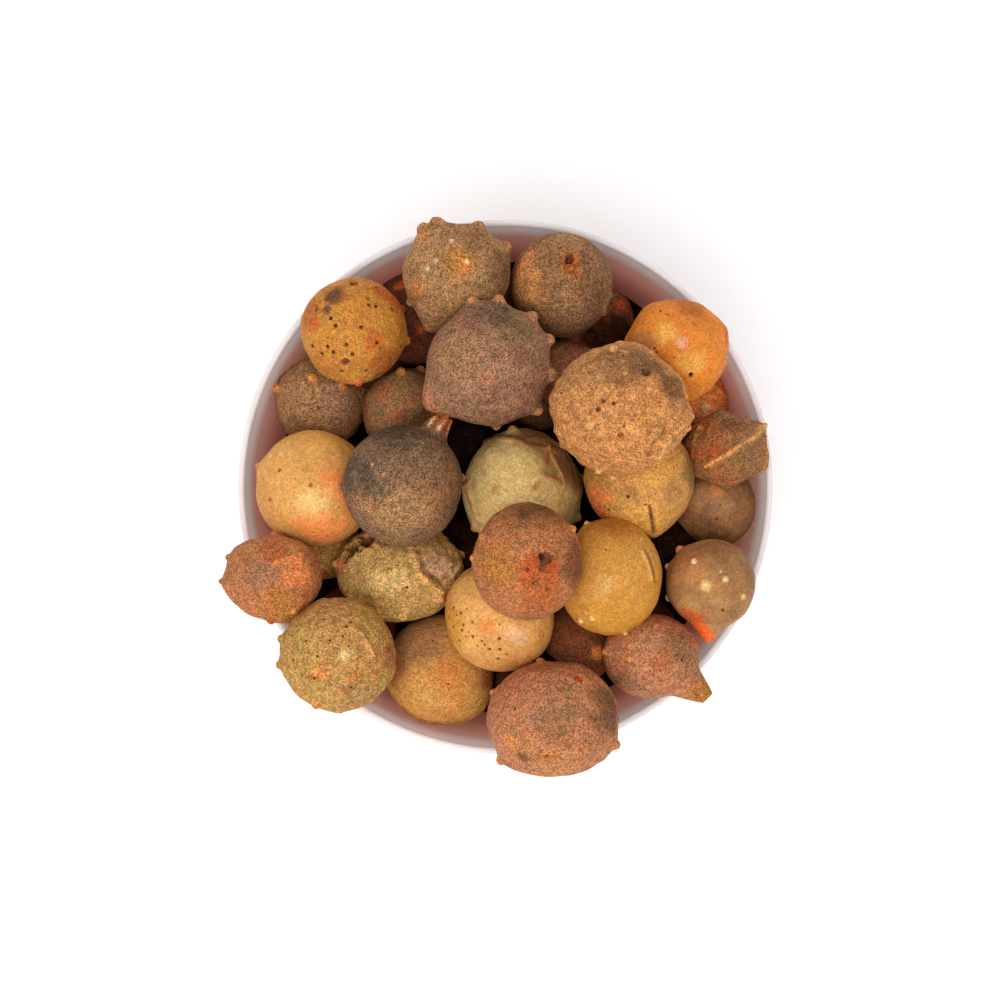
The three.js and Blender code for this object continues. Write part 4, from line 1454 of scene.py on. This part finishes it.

# Those below them, which show only in the gaps, each with its centre. The soot, wine, bark and loam tones of
# most of them are painted shade in the gaps.
TUCKED = (
    Gall(
        "under_north", (-16.6, 30.6, 35.8), 16.8, tone=Tone.WINE, second=Tone.SOOT, hidden=True,
        blots=(Blot(Tone.EMBER, -0.3, 0.68, 0.12, 0.9), Blot(Tone.EMBER, 0.17, -0.27, 0.1, 0.8)),
    ),
    Gall("under_north_west", (-25.0, 23.5, 34.5), 13.2, tone=Tone.WINE, second=Tone.SOOT, hidden=True),
    Gall("under_crown", (1.2, 29.5, 34.6), 16.4, tone=Tone.WINE, second=Tone.SOOT, hidden=True),
    # Its large soot blot is painted shadow over its lower right.
    Gall(
        "under_north_east", (16.5, 30.0, 34.8), 13.6, hidden=True,
        blots=(Blot(Tone.SOOT, 0.3, -0.5, 0.7, 0.9), Blot(Tone.EMBER, 0.66, 0.42, 0.2, 0.9)),
    ),
    Gall("under_violet", (6.0, 14.8, 34.0), 9.0, tone=Tone.BARK, second=Tone.CINDER, hidden=True),
    Gall(
        "under_tan", (12.0, 20.0, 34.5), 14.8, Skin.BLUSHED, Tone.PLUM, Tone.RUSSET, hidden=True,
        blots=(Blot(Tone.LOAM, -0.7, -0.3, 0.5, 0.9), Blot(Tone.STRAW, -0.38, 0.68, 0.2, 0.95)),
    ),
    Gall("under_orange", (28.0, 22.5, 36.0), 14.0, tone=Tone.RUST, second=Tone.ORANGE, hidden=True),
    Gall("under_star", (35.5, 6.5, 36.5), 10.8, hidden=True),
    Gall("under_mustard", (28.0, -11.8, 36.4), 16.2, tone=Tone.SOOT, second=Tone.SOOT, hidden=True),
    Gall("under_beak", (24.0, -27.0, 34.0), 15.6, tone=Tone.WINE, hidden=True),
    Gall(
        "under_south_east", (13.0, -28.0, 36.2), 14.8, Skin.BLUSHED, Tone.RUSSET, Tone.WINE,
        knobs=(Knob(0.44, -0.23, Tone.FLAME, 1.6),), hidden=True,
    ),
    Gall("under_south", (5.5, -35.5, 37.0), 14.8, tone=Tone.SOOT, second=Tone.WINE, hidden=True),
    Gall("under_south_west", (-27.5, -25.3, 36.0), 15.2, tone=Tone.LOAM, second=Tone.SOOT, hidden=True),
    # Its apricot tone is brightened as painted light, where it lies deep in the gap.
    Gall(
        "under_west", (-33.5, -9.8, 31.0), 14.0, Skin.BLUSHED, Tone.APRICOT, Tone.TAN,
        knobs=(Knob(0.06, -0.75, Tone.EMBER, 0.8),), hidden=True,
    ),
)


# ---------------------------------------------------------------- the bowl


@dataclass(frozen=True)
class Bowl:
    """The thrown and glazed bowl, in mm. Its wall thins by the flare towards the lip."""

    height: float = 42.0
    outer_radius: float = 48.2
    lip_thickness: float = 2.0
    flare: float = 0.85
    flare_depth: float = 9.0
    flare_power: float = 1.5
    floor_top: float = 6.0
    underside: float = 2.6
    wall_power: float = 2.2
    foot_radius: float = 22.0
    foot_edge: float = 0.6
    wall_steps: int = 40
    lip_steps: int = 10
    sides: int = 192
    finish: GlazeFinish = GlazeFinish()

    @property
    def lip_radius(self) -> float:
        """Half the lip's thickness, before the flare."""
        return self.lip_thickness / 2

    @property
    def lip_z(self) -> float:
        """The height of the lip's centre."""
        return self.height - self.lip_radius

    @property
    def inner_radius(self) -> float:
        """The radius inside the lip, before the flare."""
        return self.outer_radius - self.lip_thickness

    def wall(self, radius: float, bottom: float, steps: int) -> list[tuple[float, float]]:
        """Works out a wall's curve.

        Args:
            radius: its radius under the lip, where it is upright.
            bottom: its height on the axis.
            steps: how many stretches it is cut into.

        Returns:
            Radius and height, from the lip to the axis.
        """
        share = 2 / self.wall_power
        points = []
        for angle in np.linspace(0, math.pi / 2, steps + 1)[:-1]:
            drop = (self.lip_z - bottom) * math.sin(angle) ** share
            points.append((radius * math.cos(angle) ** share, self.lip_z - drop))
        return [*points, (0.0, bottom)]

    def lip(self, steps: int, flare: float = 0.0) -> list[tuple[float, float]]:
        """Returns the rounded lip from the inner wall over to the outer one.

        Args:
            steps: how many stretches it is cut into.
            flare: how much thinner the lip is on its inner side.
        """
        half = self.lip_radius - flare / 2
        turns = np.linspace(math.pi, 0, steps + 1)[1:-1]
        return [
            (self.outer_radius - half + half * math.cos(turn), self.lip_z + self.lip_radius * math.sin(turn))
            for turn in turns
        ]

    def flared(self, point: tuple[float, float]) -> tuple[float, float]:
        """Moves a point of the inner wall out to where the glazed wall thins towards its lip."""
        share = max(0.0, 1 - (self.lip_z - point[1]) / self.flare_depth)
        return point[0] + self.flare * share**self.flare_power, point[1]

    def outline(self) -> list[tuple[float, float]]:
        """Returns the whole section, from the middle of the foot round to the middle of the floor."""
        wall = self.wall(self.outer_radius, self.underside, self.wall_steps)
        outside = [point for point in wall if point[0] > self.foot_radius + self.foot_edge][::-1]
        foot = [
            (0.0, 0.0),
            (self.foot_radius - self.foot_edge, 0.0),
            (self.foot_radius - self.foot_edge * 0.3, self.foot_edge * 0.3),
            (self.foot_radius, self.foot_edge),
            (self.foot_radius, outside[0][1] - self.foot_edge),
            (self.foot_radius + self.foot_edge * 0.4, outside[0][1] - self.foot_edge * 0.2),
        ]
        inner_wall = self.wall(self.inner_radius, self.floor_top, self.wall_steps)
        inside = [self.flared(point) for point in inner_wall]
        return [*foot, *outside, *self.lip(self.lip_steps, self.flare)[::-1], *inside]

    def depth_inside(self, corner: bmesh.types.BMVert) -> float:
        """Returns how far in mm a corner lies below the lip's crest, or 0 on the outer side."""
        inwards = corner.normal.xy.dot(corner.co.xy) < 0
        level = corner.normal.z > 0.9
        return self.height - corner.co.z / MM if level or inwards and corner.normal.z > -0.1 else 0.0

    def build(self) -> bpy.types.Object:
        """Turns the section round the axis.

        Returns:
            The glazed bowl.
        """
        form = turned(self.outline(), self.sides)
        bmesh.ops.dissolve_degenerate(form, edges=form.edges, dist=NO_LENGTH)
        form.normal_update()
        # The depth below the lip drives the glaze's painted shade inside.
        depths = [self.depth_inside(corner) for corner in form.verts]
        piece = placed_piece("glazed_bowl", form, self.finish.material())
        piece.data.attributes.new(DEPTH_LAYER, "FLOAT", "POINT").data.foreach_set("value", depths)
        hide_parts(Node.BOWL.value)
        return piece


SAME_PLACE = 0.01 * MM
NO_LENGTH = 0.001 * MM


def turned(section: list[tuple[float, float]], sides: int) -> bmesh.types.BMesh:
    """Turns a section round the upright axis into a closed form.

    Args:
        section: radius and height in mm, from the axis round to the axis.
        sides: how many faces go round.

    Returns:
        The form, in metres.
    """
    form = bmesh.new()
    corners = [form.verts.new((radius * MM, 0, height * MM)) for radius, height in section]
    edges = [form.edges.new(pair) for pair in zip(corners, corners[1:])]
    bmesh.ops.spin(
        form, geom=[*corners, *edges], cent=(0, 0, 0), axis=(0, 0, 1), angle=math.tau,
        steps=sides, use_merge=True,
    )
    bmesh.ops.remove_doubles(form, verts=form.verts, dist=SAME_PLACE)
    bmesh.ops.recalc_face_normals(form, faces=form.faces)
    return form


def linked(name: str, data: bpy.types.ID) -> bpy.types.Object:
    """Makes an object of its data and puts it into the scene."""
    made = bpy.data.objects.new(name, data)
    bpy.context.scene.collection.objects.link(made)
    return made


def placed_piece(name: str, form: bmesh.types.BMesh, material: bpy.types.Material) -> bpy.types.Object:
    """Makes a smooth-shaded object of a mesh and lets it ride on the body.

    Args:
        name: the piece's name.
        form: its mesh, in metres and in place.
        material: its finish.

    Returns:
        The object.
    """
    mesh = bpy.data.meshes.new(name)
    form.to_mesh(mesh)
    form.free()
    mesh.polygons.foreach_set("use_smooth", np.ones(len(mesh.polygons), bool))
    mesh.materials.append(material)
    piece = linked(name, mesh)
    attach(piece, BODY)
    log.info("%s: %d faces", name, len(mesh.polygons))
    return piece


# ---------------------------------------------------------------- the heap


@dataclass(frozen=True)
class Heap:
    """The galls and the fill under them, in mm. The laying rule is the frame's own."""

    bowl: Bowl
    core_top: float = 29.0
    core_fall: float = 3.0
    core_reach: float = 40.0
    core_hold: float = 0.5
    core_sides: int = 96
    core_lump: float = 0.8
    gap: float = 0.4
    sink: float = 1.0
    slump: float = 0.95
    touch_steps: int = 90
    touch_lip_steps: int = 8
    core_steps: int = 24
    core_margin: tuple[float, float] = (1.0, 2.0)

    def core_top_at(self, reach: float) -> float:
        """Returns the fill's height at a distance from the axis."""
        return self.core_top - self.core_fall * (reach / self.core_reach) ** 2

    def height_on_bowl(self, reach: float, radius: float) -> float:
        """Returns the least height at which a ball clears the inner wall and the lip.

        Args:
            reach: its distance from the axis.
            radius: its radius.
        """
        clear = radius + self.gap
        edge = self.bowl.wall(self.bowl.inner_radius, self.bowl.floor_top, self.touch_steps)
        edge += self.bowl.lip(self.touch_lip_steps)
        touched = ((r, z) for r, z in edge if abs(reach - r) < clear)
        return max(z + math.sqrt(clear**2 - (reach - r) ** 2) for r, z in touched)

    def laid(self) -> list[tuple[Gall, np.ndarray]]:
        """Lets each gall down until it meets the fill, the bowl or a gall below it.

        Returns:
            Every gall with its centre.
        """
        placed: list[tuple[Gall, np.ndarray]] = []
        for gall in LAID:
            x, y = gall.at
            reach = math.hypot(x, y)
            z = max(
                self.core_top_at(reach) + self.core_hold * gall.radius,
                self.height_on_bowl(reach, gall.radius),
            )
            for below, centre in placed:
                aside = math.hypot(x - centre[0], y - centre[1])
                touch = gall.radius + below.radius - self.sink
                if aside < touch:
                    z = max(z, centre[2] + self.slump * math.sqrt(touch**2 - aside**2))
            placed.append((gall, np.array([x, y, z])))
        return placed + [(gall, np.array(gall.at)) for gall in TUCKED]

    def build_fill(self, material: bpy.types.Material) -> bpy.types.Object:
        """Makes the lumpy fill that closes the gaps, soot-black all over as painted shade deep among the
        galls.

        Args:
            material: its finish.

        Returns:
            The fill.
        """
        bowl = self.bowl
        rim_z = self.core_top_at(bowl.inner_radius)
        side = bowl.wall(bowl.inner_radius - self.gap, bowl.floor_top + self.gap, self.core_steps)
        side = [point for point in side if point[1] < rim_z][::-1]
        widest = side[-1][0]
        top = [(reach, self.core_top_at(reach)) for reach in np.linspace(widest, 0, self.core_steps)[1:]]
        form = turned([*side, *top], self.core_sides)
        places = np.array([tuple(v.co) for v in form.verts]) / MM
        lumps = ripples(places, 0.7, 11) + 0.5 * ripples(places, 1.7, 12)
        below, inwards = self.core_margin
        for corner, lump, place in zip(form.verts, lumps, places):
            if place[2] > rim_z - below and math.hypot(place[0], place[1]) < widest - inwards:
                corner.co.z += self.core_lump * lump * MM
        # Painted shade: soot-black, so the gaps between the galls read as deep shadow.
        tones = np.tile(Tone.SOOT.linear(), (len(form.verts), 1))
        piece = placed_piece("gall_fill", form, material)
        dress(piece, tones, np.zeros(len(tones)))
        return piece

    def build(self) -> None:
        """Makes one piece of each kind of skin, and the fill."""
        effects = Effects()
        laid = self.laid()
        for kind in Skin:
            form = bmesh.new()
            skins = [gall.add_to(form, centre) for gall, centre in laid if gall.skin is kind]
            material = kind.value.material(effects)
            piece = placed_piece("galls_" + kind.value.label, form, material)
            dress(piece, np.concatenate([s[0] for s in skins]), np.concatenate([s[1] for s in skins]))
        self.build_fill(material)


def dress(piece: bpy.types.Object, tones: np.ndarray, crust: np.ndarray) -> None:
    """Stores a piece's tones and crust on its mesh, and hides the frame's heap.

    Args:
        piece: the piece.
        tones: linear red, green and blue of each corner.
        crust: how rough each corner is, from 0 to 1.
    """
    layer = piece.data.attributes.new(TONE_LAYER, "FLOAT_COLOR", "POINT")
    layer.data.foreach_set("color", np.c_[tones, np.ones(len(tones))].ravel())
    layer = piece.data.attributes.new(CRUST_LAYER, "FLOAT", "POINT")
    layer.data.foreach_set("value", np.clip(crust, 0, 1))
    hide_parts(Node.HEAP.value)


# ---------------------------------------------------------------- the studio


@dataclass(frozen=True)
class Light:
    """One soft square light, in metres and watts, aimed at the heap."""

    name: str
    place: tuple[float, float, float]
    size: float
    power: float
    colour: tuple[float, float, float] = (1.0, 1.0, 1.0)

    def build(self, aim: Vector) -> None:
        """Hangs the light.

        Args:
            aim: the point that it faces.
        """
        lamp = bpy.data.lights.new(self.name, "AREA")
        lamp.size = self.size
        lamp.energy = self.power
        lamp.color = self.colour
        made = linked(self.name, lamp)
        made.location = self.place
        made.rotation_euler = (aim - Vector(self.place)).to_track_quat("-Z", "Y").to_euler()


@dataclass(frozen=True)
class Studio:
    """A pale floor, soft light from the lower left and above, and a camera that looks down."""

    camera_place: tuple[float, float, float] = (-0.00099, -0.00234, 0.842)
    lens: float = 160.0
    sensor: float = 36.0
    floor_size: float = 8.0
    floor_drop: float = 0.0001
    floor_shade: float = 0.99
    world_shade: float = 0.78
    aim: tuple[float, float, float] = (0.0, 0.0, 0.04)
    lights: tuple[Light, ...] = (
        Light("key", (-0.25, -0.5, 0.9), 1.1, 5.5),
        Light("top", (0.0, 0.0, 1.2), 0.8, 3.2),
    )

    def build(self) -> None:
        """Sets the floor, the lights, the world and the camera."""
        self.lay_floor()
        for light in self.lights:
            light.build(Vector(self.aim))
        world = bpy.data.worlds.new("soft_room")
        world.use_nodes = True
        world.node_tree.nodes["Background"].inputs[0].default_value = (*[self.world_shade] * 3, 1.0)
        bpy.context.scene.world = world
        camera = bpy.data.cameras.new("camera")
        camera.lens = self.lens
        camera.sensor_width = self.sensor
        camera.clip_start = 0.01
        made = linked("camera", camera)
        made.location = self.camera_place
        bpy.context.scene.camera = made
        bpy.context.scene.view_settings.view_transform = "Standard"

    def lay_floor(self) -> None:
        """Lays the pale floor under the bowl."""
        form = bmesh.new()
        bmesh.ops.create_grid(form, x_segments=1, y_segments=1, size=self.floor_size / 2)
        bmesh.ops.translate(form, verts=form.verts, vec=(0, 0, -self.floor_drop))
        mesh = bpy.data.meshes.new("floor")
        form.to_mesh(mesh)
        form.free()
        material, _, shader = new_material("floor")
        shader.inputs["Base Color"].default_value = (*[self.floor_shade] * 3, 1.0)
        shader.inputs["Roughness"].default_value = 0.9
        mesh.materials.append(material)
        floor = linked("floor", mesh)


def main() -> None:
    """Builds the bowl, the heap and the studio."""
    logging.basicConfig(level=logging.INFO, format="%(name)s: %(message)s")
    bowl = Bowl()
    bowl.build()
    Heap(bowl).build()
    Studio().build()


if __name__ == "__main__":
    main()
